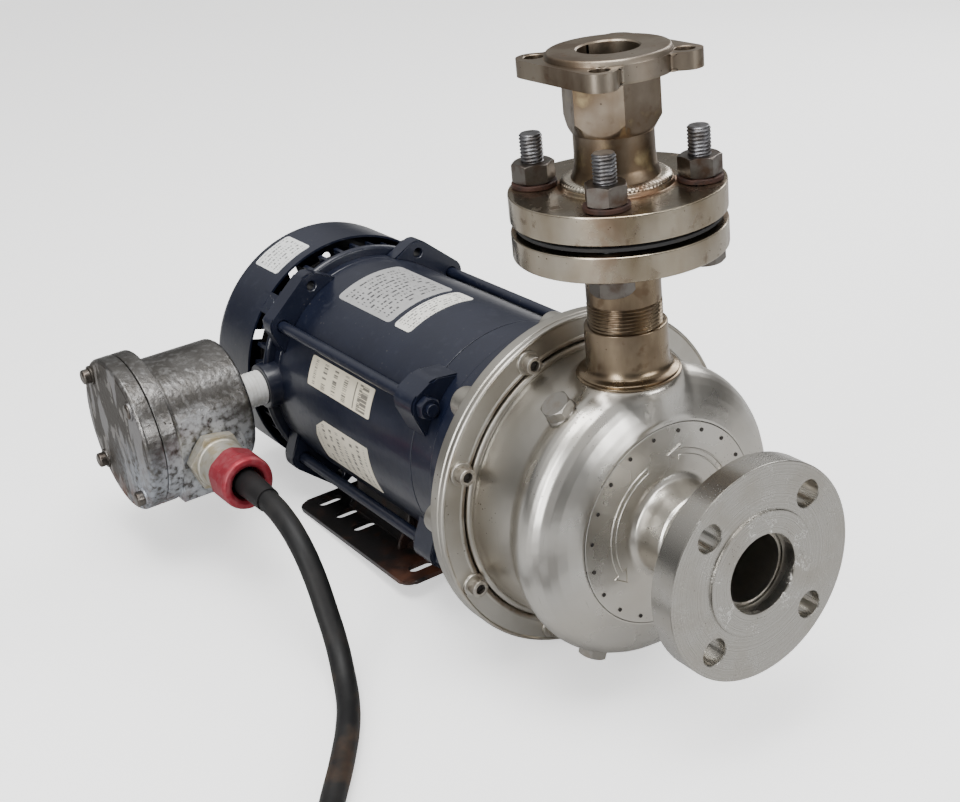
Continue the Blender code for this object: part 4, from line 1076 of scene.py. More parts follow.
collar = [(27.2, 86.2), (29.4, 86.5), (29.9, 87.2), (29.7, 88.0), (28.7, 88.4), (28.9, 89.1), (28.4, 89.8),
          (27.0, 90.1), (25.4, 90.8), (24.2, 92.2), (23.6, 94.5), (23.4, 97), (23.4, 116.4), (22.8, 117), (21.2, 117),
          (21.2, 86.2)]
piece("discharge_collar", spun(collar, 96), "stack_pipe", sharp=50)

# %% [markdown]
# A rolled bead closes the casing's rim where it meets the ring. It is a separate turned piece, because its finish
# is the ring's and not the bowl's.

# %% Casing rim bead
bead = [(90.1, 45.6), (89.9, 44.9), (88.9, 44.0), (87.4, 43.8), (86.2, 44.5), (86.2, 45.6)]
piece("casing_rim", spun(rounded(bead, 0.2, 2), FINE, ALONG_Y), "ring", sharp=60)

# %% [markdown]
# ## The adapter ring and its screws
# A cast ring carries the pump on the motor's face. It has a fine bead round its rim, eight bosses at the back and
# eight socket screws in front, which repeat round the shaft.

# %% Adapter ring
BOSS_PITCH, SCREW_PITCH, SCREW_START, SCREWS = 93.0, 97.0, 22.5, 8
profile = [(106.2, 45.8), (107, 46.8), (107, 49.6), (106.3, 50.3), (107, 51.0), (107, 58), (95.5, 61.8), (94, 62.2),
           (86.4, 68), (85.0, 77.7), (57.4, 77.7), (57.4, 66), (86.0, 57), (86.0, 51.6), (90.4, 51.6), (90.4, 47.4),
           (91.6, 45.9), (93.4, 45.5), (94.2, 46.3), (104.6, 46.3), (105.2, 45.6)]
ring = spun(rounded(profile, 0.7, 2), FINE, ALONG_Y)
boss = spun(rounded([(0, 55), (10.6, 55), (9.8, 74), (0, 74)], 1.6), SMALL, ALONG_Y)
ring = combined(ring, round_shaft(boss, SCREWS, BOSS_PITCH, 0, finish="ring"), "UNION")
piece("adapter_ring", ring, "ring", "motor_adapter")

# %% [markdown]
# The screws have a round head with a hexagonal hole. Head, raised seat and a dark hexagon of painted shade at the
# bottom of the hole are three small shapes, copied by the same tree with the same seed, so that each screw and its hole
# share one twist.

# %% Socket screws
head = spun(rounded([(0, 46.5), (5.2, 46.5), (5.2, 38.6), (3.1, 38.4), (2.9, 41.8), (0, 42.0)], 0.5), 28, ALONG_Y)
RING_OF_SCREWS = dict(count=SCREWS, pitch=SCREW_PITCH, along=0, start=SCREW_START)
screws = round_shaft(head, **RING_OF_SCREWS, twist=1.5, seed=4)
piece("socket_screws", screws, "screw", [f"casing_screw_{i}" for i in range(1, SCREWS + 1)])
seat = spun(rounded([(4.4, 46.4), (7.6, 46.4), (7.2, 44.6), (4.4, 44.5)], 0.4), 28, ALONG_Y)
piece("screw_seats", round_shaft(seat, **RING_OF_SCREWS, finish="ring"), "ring")
# painted shade: a thin near-black hexagon near the bottom of each round hole stands for the shaded socket
socket = prism([polar(2.9, 60 * i) for i in range(6)], 41.2, 41.7, ALONG_Y)
socket_shade = round_shaft(socket, **RING_OF_SCREWS, twist=1.5, seed=4, finish="dark")
piece("screw_socket_shade", socket_shade, "dark")

# %% [markdown]
# ## Nuts and plugs
# A real hexagon has its corners turned off in a cone, which leaves a curved edge on every flat. Cutting a hexagonal
# bar with a turned shape gives exactly that. The casing's vent and drain plugs are such hexagons on a round boss.


# %% Vent and drain plugs
def hexagon(across, spin=0.0):
    radius = across / 2 / math.cos(math.pi / 6)
    return [polar(radius, spin + 60 * i) for i in range(6)]


def nut_shape(across, low, high, bore=0.0, spin=0.0, turn=ALONG_Z, at=(0, 0, 0), dome=0.8):
    """A hexagon whose corners are turned off in a cone at both ends, as on a real nut."""
    body = prism(hexagon(across, spin), low, high)
    corner = across / 2 / math.cos(math.pi / 6)
    cone = [(0, low - 0.01), (across / 2 - 0.2, low - 0.01), (corner + 0.4, low + dome + 0.5),
            (corner + 0.4, high - dome - 0.5), (across / 2 - 0.2, high + 0.01), (0, high + 0.01)]
    body = combined(body, spun(cone, 48), "INTERSECT")
    if bore:
        body = combined(body, spun([(0, low - 3), (bore, low - 3), (bore, high + 3), (0, high + 3)], SMALL))
    body.transform(Matrix.Translation(Vector(at)) @ turn)
    return body


def radial_turn(angle):
    return Matrix.Rotation(math.radians(90 - angle), 4, "Y")


VENT_Y, PLUG_HEX = 3.0, 16.5
for name, angle in (("vent_plug", 121.5), ("drain_plug", -114.0)):
    plug = merged(nut_shape(PLUG_HEX, 89.9, 96.5, 0, 12, radial_turn(angle), (0, VENT_Y, 0)),
                  spun(rounded([(0, 84.0), (10.0, 84.0), (9.3, 89.0), (8.6, 90.0), (0, 90.1)], 0.6), SMALL,
                       radial_turn(angle), (0, VENT_Y, 0)))
    piece(f"{name}_head", plug, "plug", name)

# %% [markdown]
# ## The discharge stack
# A threaded nipple screws into the collar. Two class 150 flanges are bolted on it with a gasket between, and a
# cast end piece with a hexagon and four ears is welded into the upper one. Heat has tinted all of it.

# %% Nipple and flanges
BOLT_CIRCLE, STACK_R, RAISED = 44.45, 58.75, 31.75
LOWER_FACES, UPPER_FACES, GASKET_FACES = (160.8, 175.1), (180.9, 196.6), (177.0, 179.0)
piece("nipple_pipe", merged(threaded(21.1, 103.5, 131, 2.1, 0.9, sides=72, inner=17.5),
                            spun(rounded([(20.9, 131), (20.9, 170), (17.5, 170), (17.5, 131)], 0.3), 72)),
      "stack_pipe", "discharge_nipple")
LOWER = [(RAISED, 176.7), (RAISED, LOWER_FACES[1]), (STACK_R, LOWER_FACES[1]), (STACK_R, LOWER_FACES[0]),
         (30.5, LOWER_FACES[0]), (29, 156.1), (21.4, 156.1), (21.4, 170.3), (17.5, 170.3), (17.5, 176.7)]
UPPER = [(RAISED, 179.3), (RAISED, UPPER_FACES[0]), (STACK_R, UPPER_FACES[0]), (STACK_R, UPPER_FACES[1]),
         (31.2, UPPER_FACES[1]), (30.2, 199.0), (22.4, 199.4), (22.4, 186.3), (16.4, 186.3), (16.4, 179.3)]
for name, profile, faces, node in (("lower_flange_turned", LOWER, LOWER_FACES, "lower_flange"),
                                   ("upper_flange_turned", UPPER, UPPER_FACES, "upper_flange")):
    disc = combined(spun(rounded(profile, 1.1), FINE),
                    hole_cutters(8.0, *faces, BOLT_CIRCLE, FLANGE_ANGLES, ALONG_Z, 0.4))
    piece(name, disc, "stack_flange", node)
# painted shade: past the raised faces at 31.75 mm the black sheet goes on out to 56 mm and fills the open gap between
# the flanges, where there is only shade
sheet = spun(rounded([(56.0, GASKET_FACES[0]), (56.0, GASKET_FACES[1]), (18, GASKET_FACES[1]), (18, GASKET_FACES[0])],
                     0.3), FINE)
sheet = combined(sheet, hole_cutters(7.2, *GASKET_FACES, BOLT_CIRCLE, FLANGE_ANGLES, ALONG_Z, 0.1))
piece("gasket_and_gap_shade", sheet, "carbon", "flange_gasket")

# %% [markdown]
# ## The weld bead
# A hand weld is a row of overlapping ripples that follows the joint. Here it is a grid round the neck whose radius
# and height swell with every ripple, plus a slow wander.

# %% Weld bead
WELD_R, WELD_Z, WELD_SIDES, WELD_ARC, RIPPLES = 25.6, 199.2, 360, 12, 74
bead = bmesh.new()
rows = []
for i in range(WELD_SIDES):
    a = 2 * math.pi * i / WELD_SIDES
    ripple = abs(math.sin(a * RIPPLES / 2 + 0.8 * noise.noise(Vector((3 * math.cos(a), 3 * math.sin(a), 0)))))
    swell = 4.4 + 0.28 * ripple + 0.6 * noise.noise(Vector((2 * math.cos(a), 2 * math.sin(a), 5)))
    rows.append([bead.verts.new(((WELD_R + swell * math.cos(t)) * math.cos(a),
                                 (WELD_R + swell * math.cos(t)) * math.sin(a), WELD_Z + 0.62 * swell * math.sin(t)))
                 for t in (2 * math.pi * k / WELD_ARC for k in range(WELD_ARC))])
for row, after in zip(rows, rows[1:] + rows[:1]):
    for k in range(WELD_ARC):
        bead.faces.new((row[k], after[k], after[(k + 1) % WELD_ARC], row[(k + 1) % WELD_ARC]))
bmesh.ops.recalc_face_normals(bead, faces=bead.faces)
piece("weld_bead", bead, "weld", sharp=70)

# %% [markdown]
# ## Studs, nuts and washers
# Four half-inch studs hold the flanges, with a nut and a rusty washer above and a hexagon head below. The nuts
# stand at different angles, as hands leave them, so they are made in a loop that turns each one further.

# %% Studs, nuts and washers
STUD_R, STUD_PITCH, STUD_HEX = 6.35, 1.95, 20.6
studs, nuts, washers = [], [], []
for index, angle in enumerate(FLANGE_ANGLES):
    x, y = polar(BOLT_CIRCLE, angle)
    studs.append(threaded(STUD_R, 152.0, 225.9, STUD_PITCH, 0.85, at=(x, y, 0)))
    nuts.append(nut_shape(STUD_HEX, 199.6, 210.6, 6.2, 8 + 25 * index, at=(x, y, 0)))
    nuts.append(nut_shape(STUD_HEX, 151.0, 160.4, 0, 20, at=(x, y, 0)))
    washers.append(spun(rounded([(12.5, 196.9), (12.5, 199.5), (6.5, 199.5), (6.5, 196.9)], 0.5), SMALL, at=(x, y, 0)))
piece("flange_studs", merged(*studs), "stud", [f"flange_stud_{i}" for i in range(1, 5)], sharp=60)
piece("flange_nuts", merged(*nuts), "nut")
piece("flange_washers", merged(*washers), "washer")


# %% [markdown]
# ## The end piece
# The top is a casting: round neck, wrench hexagon, and a plate with four rounded ears. Two of the plate's sides run
# straight from ear to ear, and the other two curve in to the raised disc. Its outline is a radius that changes
# with the angle, so a rule draws it better than four separate ears would.

# %% End piece
EAR_PITCH, EAR_R, RAISED_R, STRAIGHT_UNTIL = 39.0, 9.8, 34.2, 36.4
SIDE_X = EAR_PITCH * math.cos(math.radians(45)) + EAR_R      # the two straight sides join ear to ear


def plate_radius(angle):
    """How far the plate reaches at an angle: the central disc, an ear's circle, or a straight side."""
    off = angle % 90 - 45
    side, ear = EAR_PITCH * math.sin(math.radians(off)), 0
    if abs(side) < EAR_R:
        ear = EAR_PITCH * math.cos(math.radians(off)) + math.sqrt(EAR_R ** 2 - side ** 2)
    from_x = (angle + 90) % 180 - 90
    straight = SIDE_X / math.cos(math.radians(from_x)) if abs(from_x) < STRAIGHT_UNTIL else 0
    return max(RAISED_R, ear, straight)


def soften(outline, rounds):
    """The outline with each point drawn towards its neighbours, which rounds the inner corners."""
    for _ in range(rounds):
        outline = [((outline[i - 1][0] + 2 * p[0] + outline[(i + 1) % len(outline)][0]) / 4,
                    (outline[i - 1][1] + 2 * p[1] + outline[(i + 1) % len(outline)][1]) / 4)
                   for i, p in enumerate(outline)]
    return outline


PLATE_TOP, PLATE_THICK = 266.0, 9.5
PLATE_FACES = (PLATE_TOP - PLATE_THICK, PLATE_TOP)
ears = [polar(plate_radius(degree), degree) for degree in range(360)]
plate = prism(soften(ears, 6), *PLATE_FACES, chamfer=1.2)
neck_profile = [(25.4, 200), (23.6, 203), (22.2, 207), (21.7, 214), (21.6, 226), (22.4, 230), (23.2, 234), (23.2, 257),
                (33.9, 257), (33.9, 265.9), (32.4, PLATE_TOP + 3), (0, PLATE_TOP + 3), (0, 200)]
end_piece = combined(plate, spun(rounded(neck_profile, 1.0), 96), "UNION")
flats = combined(prism(hexagon(46.6, 6), 226, 257.0),
                 spun([(0, 225), (21.4, 225), (26.9, 234.0), (26.9, 258), (0, 258)], 72), "INTERSECT")
end_piece = combined(end_piece, flats, "UNION")
end_piece = combined(end_piece, spun([(0, 190), (16.4, 190), (16.4, PLATE_TOP + 2.2), (17.4, PLATE_TOP + 3.2),
                                      (17.4, 275), (0, 275)], ROUND))
end_piece = combined(end_piece, hole_cutters(5.4, *PLATE_FACES, EAR_PITCH, FLANGE_ANGLES, ALONG_Z, 0.4, reach=0.3))
piece("end_piece_casting", end_piece, "end_piece", "valve_end_piece", sharp=38)

# %% [markdown]
# ## The motor
# A rolled steel shell sits between two cast bells, and four long rods clamp them together through ears at the
# corners. The bells are turned shapes with their ears joined on; the rear one has a castellated rim.

# %% Shell
SHELL_R = 79.4
shell_profile = [(SHELL_R, 125.3), (SHELL_R, 305.8), (76.8, 305.8), (76.8, 125.3)]
piece("shell_sheet", spun(rounded(shell_profile, 0.8), FINE, ALONG_Y), "enamel", "stator_shell")


# %% [markdown]
# ## The bells
# Both bells are castings: a turned cup, and ears that stand out at the corners to take the rods. An ear is the hull
# of two circles and a root in the cup, because that is how a pattern maker would blend them.

# %% The bells' corners and ears
ROD_PITCH, ROD_ANGLE = 88.0, 36.2
CORNERS = [ROD_ANGLE, 180 - ROD_ANGLE, 180 + ROD_ANGLE, 360 - ROD_ANGLE]


def arc(centre, radius, start, end, count):
    return [(centre[0] + radius * math.cos(math.radians(start + (end - start) * i / (count - 1))),
             centre[1] + radius * math.sin(math.radians(start + (end - start) * i / (count - 1))))
            for i in range(count)]


def bell_ear(spots, low, high, inner_r=76.5, ear_r=9.5):
    """One ear: the hull of a circle round each of its holes and a root inside the bell."""
    points = [p for radius, angle in spots for p in arc(polar(radius, angle), ear_r, 0, 348, 30)]
    first, last = min(angle for _, angle in spots), max(angle for _, angle in spots)
    points += [polar(inner_r, last + 15), polar(inner_r, first - 15)]
    outline = [points[i] for i in convex_hull_2d([Vector(p) for p in points])]
    return prism([(x, -z) for x, z in reversed(outline)], low, high, ALONG_Y, chamfer=1.3)


print("rods at", CORNERS)

# %% Both bells
FRONT_EAR, REAR_EAR = (111, 133.6), (299.4, 312.7)        # where the ears begin and end along the shaft
FRONT_TAB, REAR_TAB = (84.0, 7), (87.0, 23)               # each ear's second hole: its pitch, and its angle off the rod
front_profile = [(SHELL_R, 125.0), (SHELL_R, 100), (82.5, 98), (82.5, 78), (57.0, 78), (57.0, 73), (30, 73), (28, 80),
                 (9.5, 80), (9.5, 84.5), (20.3, 84.5), (20.3, 98), (26, 98), (30, 88), (70, 91), (74, 100), (74, 125.0)]
rear_profile = [(SHELL_R, 306.1), (SHELL_R, 319), (70, 325), (36, 331), (30, 337), (9.5, 337), (9.5, 331.5),
                (20.3, 331.5), (20.3, 317.5), (26, 317.5), (30, 324), (66, 317), (73, 312), (73, 306.1)]


def tab_angles(tab):
    """Where the second holes are: the ears' tabs point alternately one way and the other."""
    return [angle + (tab[1] if i % 2 == 0 else -tab[1]) for i, angle in enumerate(CORNERS)]


def ears_shape(tab, faces, shell_low, shell_high):
    """The four ears of a bell, hollowed where the shell passes through them."""
    shapes = [bell_ear([(ROD_PITCH, angle), (tab[0], tab_angle)], *faces)
              for angle, tab_angle in zip(CORNERS, tab_angles(tab))]
    room = SHELL_R + 0.25
    return combined(merged(*shapes),
                    spun([(0, shell_low), (room, shell_low), (room, shell_high), (0, shell_high)], FINE, ALONG_Y))


front_holes = hole_cutters(4.4, *FRONT_EAR, ROD_PITCH, [-a for a in CORNERS], ALONG_Y, 0.4)
rear_holes = merged(hole_cutters(4.4, *REAR_EAR, ROD_PITCH, [-a for a in CORNERS], ALONG_Y, 0.4),
                    hole_cutters(3.6, *REAR_EAR, REAR_TAB[0], [-a for a in tab_angles(REAR_TAB)], ALONG_Y, 0.5))
piece("front_bell", spun(rounded(front_profile, 1.2), FINE, ALONG_Y), "enamel", "front_end_bell")
piece("front_ears", combined(ears_shape(FRONT_TAB, FRONT_EAR, 100, 160), front_holes), "enamel", sharp=40)
CONDUIT_AT = (0, 316, 6)
rear = combined(spun(rounded(rear_profile, 1.2), FINE, ALONG_Y),
                spun([(0, -90), (11, -90), (11, -60), (0, -60)], SMALL, ALONG_X, CONDUIT_AT))
piece("rear_bell", rear, "enamel", "rear_end_bell")
piece("rear_ears", combined(ears_shape(REAR_TAB, REAR_EAR, 280, 320), rear_holes), "enamel", sharp=40)
boss = spun(rounded([(16.5, -88), (16.8, -84), (18.5, -70), (11, -70), (11, -88)], 1.2), ROUND, ALONG_X, CONDUIT_AT)
piece("conduit_boss", boss, "enamel")

# %% [markdown]
# Short ribs stand round the rear bell under the fan cover's edge, where the air comes out. They repeat round the
# shaft, so one rib is drawn upright and the tree sets forty of them.


# %% Ribs and rim of the rear bell
def along_shaft(outline, low, high, chamfer=0.0):
    """A prism whose outline is read as across and outwards, raised along the shaft."""
    shape = prism(outline, low, high, chamfer=chamfer)
    shape.transform(Matrix(((1, 0, 0, 0), (0, 0, 1, 0), (0, 1, 0, 0), (0, 0, 0, 1))))
    bmesh.ops.recalc_face_normals(shape, faces=shape.faces)
    return shape


rib = along_shaft([(-1.3, 72), (1.3, 72), (1.3, 85.5), (-1.3, 85.5)], 313.0, 331.0, 0.5)
piece("rear_castellations", round_shaft(rib, 40, 0, 0, 4.5, finish="enamel"), "enamel")
rim = [(84.8, 312.9), (86.6, 314.5), (86.6, 317.0), (84.8, 318.2), (79.0, 318.2), (79.0, 312.9)]
piece("rear_rim", spun(rounded(rim, 0.8), FINE, ALONG_Y), "enamel")

# %% [markdown]
# Four long rods clamp the bells on the shell. They were painted with the motor, so they share its enamel, and
# each nut is turned a little further than the last.

# %% Through bolts
rods, rod_nuts = [], []
for index, angle in enumerate(CORNERS):
    x, z = polar(ROD_PITCH, angle)
    rods.append(spun(rounded([(0, 102), (4.0, 102), (4.0, 315), (0, 315)], 0.6), 24, ALONG_Y, (x, 0, z)))
    rod_nuts.append(nut_shape(13, 104.7, 110.7, 4.1, 10 + 17 * index, ALONG_Y, (x, 0, z)))
    rod_nuts.append(nut_shape(13, 313.0, 318, 0, 21 * index, ALONG_Y, (x, 0, z)))
piece("through_rods", merged(*rods), "enamel", [f"through_bolt_{i}" for i in range(1, 5)])
piece("through_nuts", merged(*rod_nuts), "enamel")

# %% [markdown]
# ## The fan cover
# A deep-drawn cap goes over the fan. Its corner is round, its back has a ring of air slots, and four tabs hold it
# on the bell with small screws.

# %% Fan cover
COVER_R, COVER_FRONT, COVER_BACK, WALL, CORNER_R = 90.1, 333.0, 393.0, 1.6, 14
turn_about = (COVER_R - CORNER_R, COVER_BACK - CORNER_R)
profile = [(COVER_R, COVER_FRONT)] + arc(turn_about, CORNER_R, 0, 90, 12)
profile += [(18, COVER_BACK), (18, COVER_BACK - WALL)] + arc(turn_about, CORNER_R - WALL, 90, 0, 12)
profile += [(COVER_R - WALL, COVER_FRONT)]
AIR_SLOTS = 12
slot_cut = along_shaft([(-4, 27), (4, 27), (4, 60)] + arc((0, 60), 4, 0, 180, 7)[1:-1] + [(-4, 60)], 380, 400)
cover = combined(spun(profile, FINE, ALONG_Y), round_shaft(slot_cut, AIR_SLOTS, 0, 0, 15, finish="enamel"))
piece("fan_cover_cap", cover, "enamel", "fan_cover", sharp=30)
tab = prism([(-8, 320), (-6.5, 318.5), (6.5, 318.5), (8, 320), (8, 341), (-8, 341)], 88.1, 89.9, chamfer=0.5)
TABS, TAB_START = 4, 47.5
piece("cover_tabs", round_shaft(tab, TABS, 0, 0, TAB_START, finish="enamel"), "enamel")
tab_screw = merged(spun(rounded([(0, 89.7), (4.6, 89.7), (4.2, 90.3), (0, 90.35)], 0.3), 24, at=(0, 326, 0)),
                   prism(hexagon(6.5), 78, 89.8, at=(0, 326, 0), chamfer=0.3))
piece("tab_screws", round_shaft(tab_screw, TABS, 0, 0, TAB_START, finish="enamel"), "enamel")

# %% [markdown]
# The fan behind the cover is the one visible piece that turns. It is a plastic disc and hub with ten flat blades,
# and it rides on the rotor's body, so that it follows the shaft.

# %% Cooling fan
BLADES = 10
hub = spun(rounded([(18, 341), (76, 341), (76, 343.4), (18, 343.4), (18, 368), (8.0, 368), (8.0, 341)], 0.6), ROUND,
           ALONG_Y)
blade = along_shaft([(-1.2, 16), (1.2, 16), (1.2, 74), (-1.2, 74)], 342.5, 366, 0.4)
piece("fan_wheel", merged(hub, round_shaft(blade, BLADES, 0, 0, finish="fan")), "fan", "cooling_fan",
      body="rotor")

# %% [markdown]
# ## The foot
# The foot is a stamped plate with rounded corners and crosswise slots, and two long saddles that are welded to
# the shell. The plate's rim is rolled slightly, which catches the light.

# %% Foot
HALF_WIDTH, FOOT_FRONT, PLATE, FOOT_CORNER = 83.0, 146.0, 3.2, 9


def rounded_corners(left, right, low, high, radius, count):
    """An upright rectangle's outline with round corners, from its top right corner on."""
    middles = ((right - radius, high - radius), (left + radius, high - radius), (left + radius, low + radius),
               (right - radius, low + radius))
    return [p for i, middle in enumerate(middles) for p in arc(middle, radius, 90 * i, 90 * i + 90, count)]


outline = rounded_corners(-HALF_WIDTH, HALF_WIDTH, FOOT_FRONT, FOOT_REAR_Y, FOOT_CORNER, 9)
base = prism(outline, -SHAFT_UP, -SHAFT_UP + PLATE, chamfer=0.9)
SLOT_ROWS, SLOT_X, SLOT_R, SLOT_HALF = (160.3, 236.5, 261.9, 287.3), 62, 4.35, 5.15
slots = [prism(arc((side * SLOT_X + SLOT_HALF, row), SLOT_R, -90, 90, 9)
               + arc((side * SLOT_X - SLOT_HALF, row), SLOT_R, 90, 270, 9), -95, -80)
         for side in (-1, 1) for row in SLOT_ROWS]
base = combined(base, merged(*slots))
saddles = []
for side in (-1, 1):
    curve_points = [(55.5, -86.2), (55.5, -84.0), (52.5, -82.6), (49.0, -80.0), (47.2, -75.5), (46.4, -66.6),
                    (42.6, -68.6), (43.4, -76.0), (44.5, -81.5), (41.5, -84.0), (40.0, -86.2)]
    bent = [(side * x, -z) for x, z in curve_points]
    saddles.append(prism(bent, 176, 270, ALONG_Y, chamfer=0.8))
    saddles.append(prism([(side * x, -z) for x, z in ((47.5, -86), (62.0, -86), (60.0, -80), (53.0, -72), (50.0, -62),
                                                      (47.2, -64.5))], 188, 191.5, ALONG_Y, chamfer=0.6))
piece("foot_plate", base, "foot", "foot_base", sharp=40)
piece("foot_saddles", merged(*saddles), "foot", sharp=40)

# %% [markdown]
# ## The junction box
# A drum of cast zinc with a bolted cover hangs on a short nipple, whose thread is wrapped in white tape. On the
# drum's front a hub on a square pad takes the gland. Drum, hub and pad are joined first and hollowed last, so that
# no wall is left standing inside.

# %% Box
BOX_SIDES = 96
profile = [(14, -114.9), (43, -115), (45, -118), (45.2, -170.5), (46.5, -173.3), (54.3, -174.5), (54.3, -185.9),
           (40.5, -185.9), (40.5, -119), (12.2, -119), (12.2, -114.9)]
body = spun(rounded(profile, 1.4), BOX_SIDES, ALONG_X, CONDUIT_AT)
hub = spun(rounded([(0, 300), (29, 300), (28, 284), (27.0, 273.5), (25.4, 271.3), (0, 271.3)], 1.2), ROUND, ALONG_Y,
           (GLAND_X, 0, GLAND_Z))
body = combined(body, hub, "UNION")
TOWARDS_FRONT = Matrix.Rotation(math.pi / 2, 4, "X")
pad = prism([(-175.5, -38), (GLAND_X, -38), (GLAND_X, 15), (-175.5, 11)], -300.0, -271.6, TOWARDS_FRONT, chamfer=1.4)
body = combined(body, pad, "UNION")
body = combined(body, spun([(0, -185), (40.4, -185), (40.4, -119.5), (0, -119.5)], ROUND, ALONG_X, CONDUIT_AT))
piece("box_drum", body, "box", "box_body")
lid = spun(rounded([(0, -186.3), (54.3, -186.3), (54.3, -196.4), (52.4, -198.5), (43.0, -198.5), (0, -198.5)], 0.9),
           BOX_SIDES, ALONG_X, CONDUIT_AT)
piece("box_lid", lid, "cover", "box_cover")

# %% [markdown]
# Four screws hold the cover. One of them is sunk, so they are made
# one by one and not as copies.

# %% Cover screws and nipple
COVER_ANGLES, COVER_PITCH, HEAD_TOP, SUNK_TOP = (50, 140, 230, 320), 47, -205.0, -201.0
lid_screws, lid_seats = [], []
for index, angle in enumerate(COVER_ANGLES):
    u, v = polar(COVER_PITCH, angle)
    at = (0, CONDUIT_AT[1] + u, CONDUIT_AT[2] + v)
    top = SUNK_TOP if index == 1 else HEAD_TOP
    head = [(0, -199.4), (5.2, -199.4), (5.2, top + 0.9), (3.6, top), (0, top)]
    lid_screws.append(spun(rounded(head, 0.7), 28, ALONG_X, at))
    lid_seats.append(spun(rounded([(0, -198.1), (6.9, -198.1), (6.6, -199.6), (0, -199.6)], 0.4), 28, ALONG_X, at))
piece("lid_screws", merged(*lid_screws), "nut", [f"cover_screw_{i}" for i in range(1, 5)])
piece("lid_seats", merged(*lid_seats), "cover")
TAPE_START, TAPE_LENGTH, TAPE_RINGS = -88.4, 26.2, 30
folds = [(12.6 + 0.25 * math.sin(i * 1.9), TAPE_START - TAPE_LENGTH * i / TAPE_RINGS) for i in range(TAPE_RINGS + 1)]
wrap = spun(folds + [(9.5, -114.6), (9.5, TAPE_START)], ROUND, ALONG_X, CONDUIT_AT)
piece("nipple_tape", wrap, "tape", "box_nipple", sharp=60)

# %% [markdown]
# ## The gland
# A cable gland is a nipple with a hexagon, and a nut that squeezes a rubber ring on the cable. This one has a
# galvanised nipple and a red anodised nut. Both are a hexagon and a turned part on the same axis.

# %% Gland
GLAND_AT = (GLAND_X, 0, GLAND_Z)
hexagon_part = nut_shape(36, 261, 270.4, 12, 10, ALONG_Y, GLAND_AT, 1.2)
barrel = spun(rounded([(9.6, 270.7), (15.0, 270.7), (15.0, 262), (17.2, 260.8), (17.2, 258.6), (16.4, 257.6),
                       (16.4, 240.4), (9.6, 240.4)], 0.6), ROUND, ALONG_Y, GLAND_AT)
piece("gland_hexagon", hexagon_part, "galvanised", "gland_body")
piece("gland_barrel", barrel, "galvanised")
red_hex = combined(nut_shape(34.6, 226.5, 240.2, 9.7, 25, ALONG_Y, GLAND_AT, 1.0),
                   spun([(0, 220), (18.35, 220), (18.35, 245), (0, 245)], ROUND, ALONG_Y, GLAND_AT), "INTERSECT")
red_collar = spun(rounded([(18.3, 227.0), (18.3, 219), (17.2, 216.4), (14.0, 216), (11.8, 217.2), (11.2, 224),
                           (9.7, 226), (9.7, 227.0)], 0.8), ROUND, ALONG_Y, GLAND_AT)
piece("gland_cap", merged(red_hex, red_collar), "red", "gland_nut")

# %% [markdown]
# ## The sleeve
# The cable leaves the gland through a short tapered sleeve, which keeps it from bending sharply there. It is a tube
# swept along the first stretch of the cable's own route, its radius shrinking on the way.

# %% Sleeve on the cable
SLEEVE_START, SLEEVE_END, SLEEVE_STEPS, SLEEVE_SIDES = 226.0, 189.0, 10, 32
SLEEVE_R, SLEEVE_THIN, SLEEVE_DROP = 9.4, 1.3, 1.2
sleeve = bmesh.new()


def sleeve_ring(step, radius):
    y = SLEEVE_START + (SLEEVE_END - SLEEVE_START) * step / SLEEVE_STEPS
    drop = -SLEEVE_DROP * ease(y, 214, SLEEVE_END)
    return [sleeve.verts.new((GLAND_X + radius * math.cos(a), y, GLAND_Z + drop + radius * math.sin(a)))
            for a in (2 * math.pi * k / SLEEVE_SIDES for k in range(SLEEVE_SIDES))]


def close_loop(shape, rings):
    """Faces between each ring of points and the next, the last one joined to the first."""
    for a_ring, b_ring in zip(rings, rings[1:] + rings[:1]):
        for k in range(len(a_ring)):
            n = (k + 1) % len(a_ring)
            shape.faces.new((a_ring[k], a_ring[n], b_ring[n], b_ring[k]))
    bmesh.ops.recalc_face_normals(shape, faces=shape.faces)


outside = [sleeve_ring(step, SLEEVE_R - SLEEVE_THIN * step / SLEEVE_STEPS) for step in range(SLEEVE_STEPS + 1)]
inside = [sleeve_ring(step, CABLE_R + 0.05) for step in reversed(range(SLEEVE_STEPS + 1))]
close_loop(sleeve, outside + inside)
piece("cable_sleeve", sleeve, "rubber")

# %% [markdown]
# ## Plug and tie
# The far end has an ordinary plug with three pins and a ribbed boot. It lies beside the coil, so it leans with the
# bench. A flat strap holds the coil's turns, drawn as a loop round both of them.

# %% Plug
lean = Matrix.Rotation(math.atan(FLOOR_SLOPE), 4, "X")
plug_at = (COIL_X, PLUG_Y, floor_height(PLUG_Y) + PLUG_AXIS)
BOOT_START, BOOT_RINGS, RIB_DEPTH = 55, 14, 0.9
boot = [(8.6 + 0.14 * i - (RIB_DEPTH if i % 2 and 1 < i < BOOT_RINGS - 2 else 0.0), BOOT_START + 2 * i)
        for i in range(BOOT_RINGS)]
plug_profile = [(0, BOOT_START)] + boot + [(15, 85), (18.4, 92), (18.9, 95), (18.9, 126), (17.9, 129.5), (0, 131)]
plug_body = spun(plug_profile, ROUND, lean @ ALONG_X, plug_at)
BLADE_AT, PIN_FROM, PIN_TO, EARTH_UP = 6.5, 130, 151, 8.5
pins = [prism([(3, w - 0.8), (3, w + 0.8), (-3, w + 0.8), (-3, w - 0.8)], PIN_FROM, PIN_TO, lean @ ALONG_X, plug_at,
              chamfer=0.3) for w in (-BLADE_AT, BLADE_AT)]
pins.append(spun(rounded([(0, PIN_FROM), (2.4, PIN_FROM), (2.4, PIN_TO), (0, PIN_TO)], 0.8), 20, lean @ ALONG_X,
                 (plug_at[0], plug_at[1], plug_at[2] + EARTH_UP)))
plug_piece = piece("plug_body", plug_body, "rubber", "plug", sharp=45)
pins_piece = piece("plug_pins", merged(*pins), "ground")
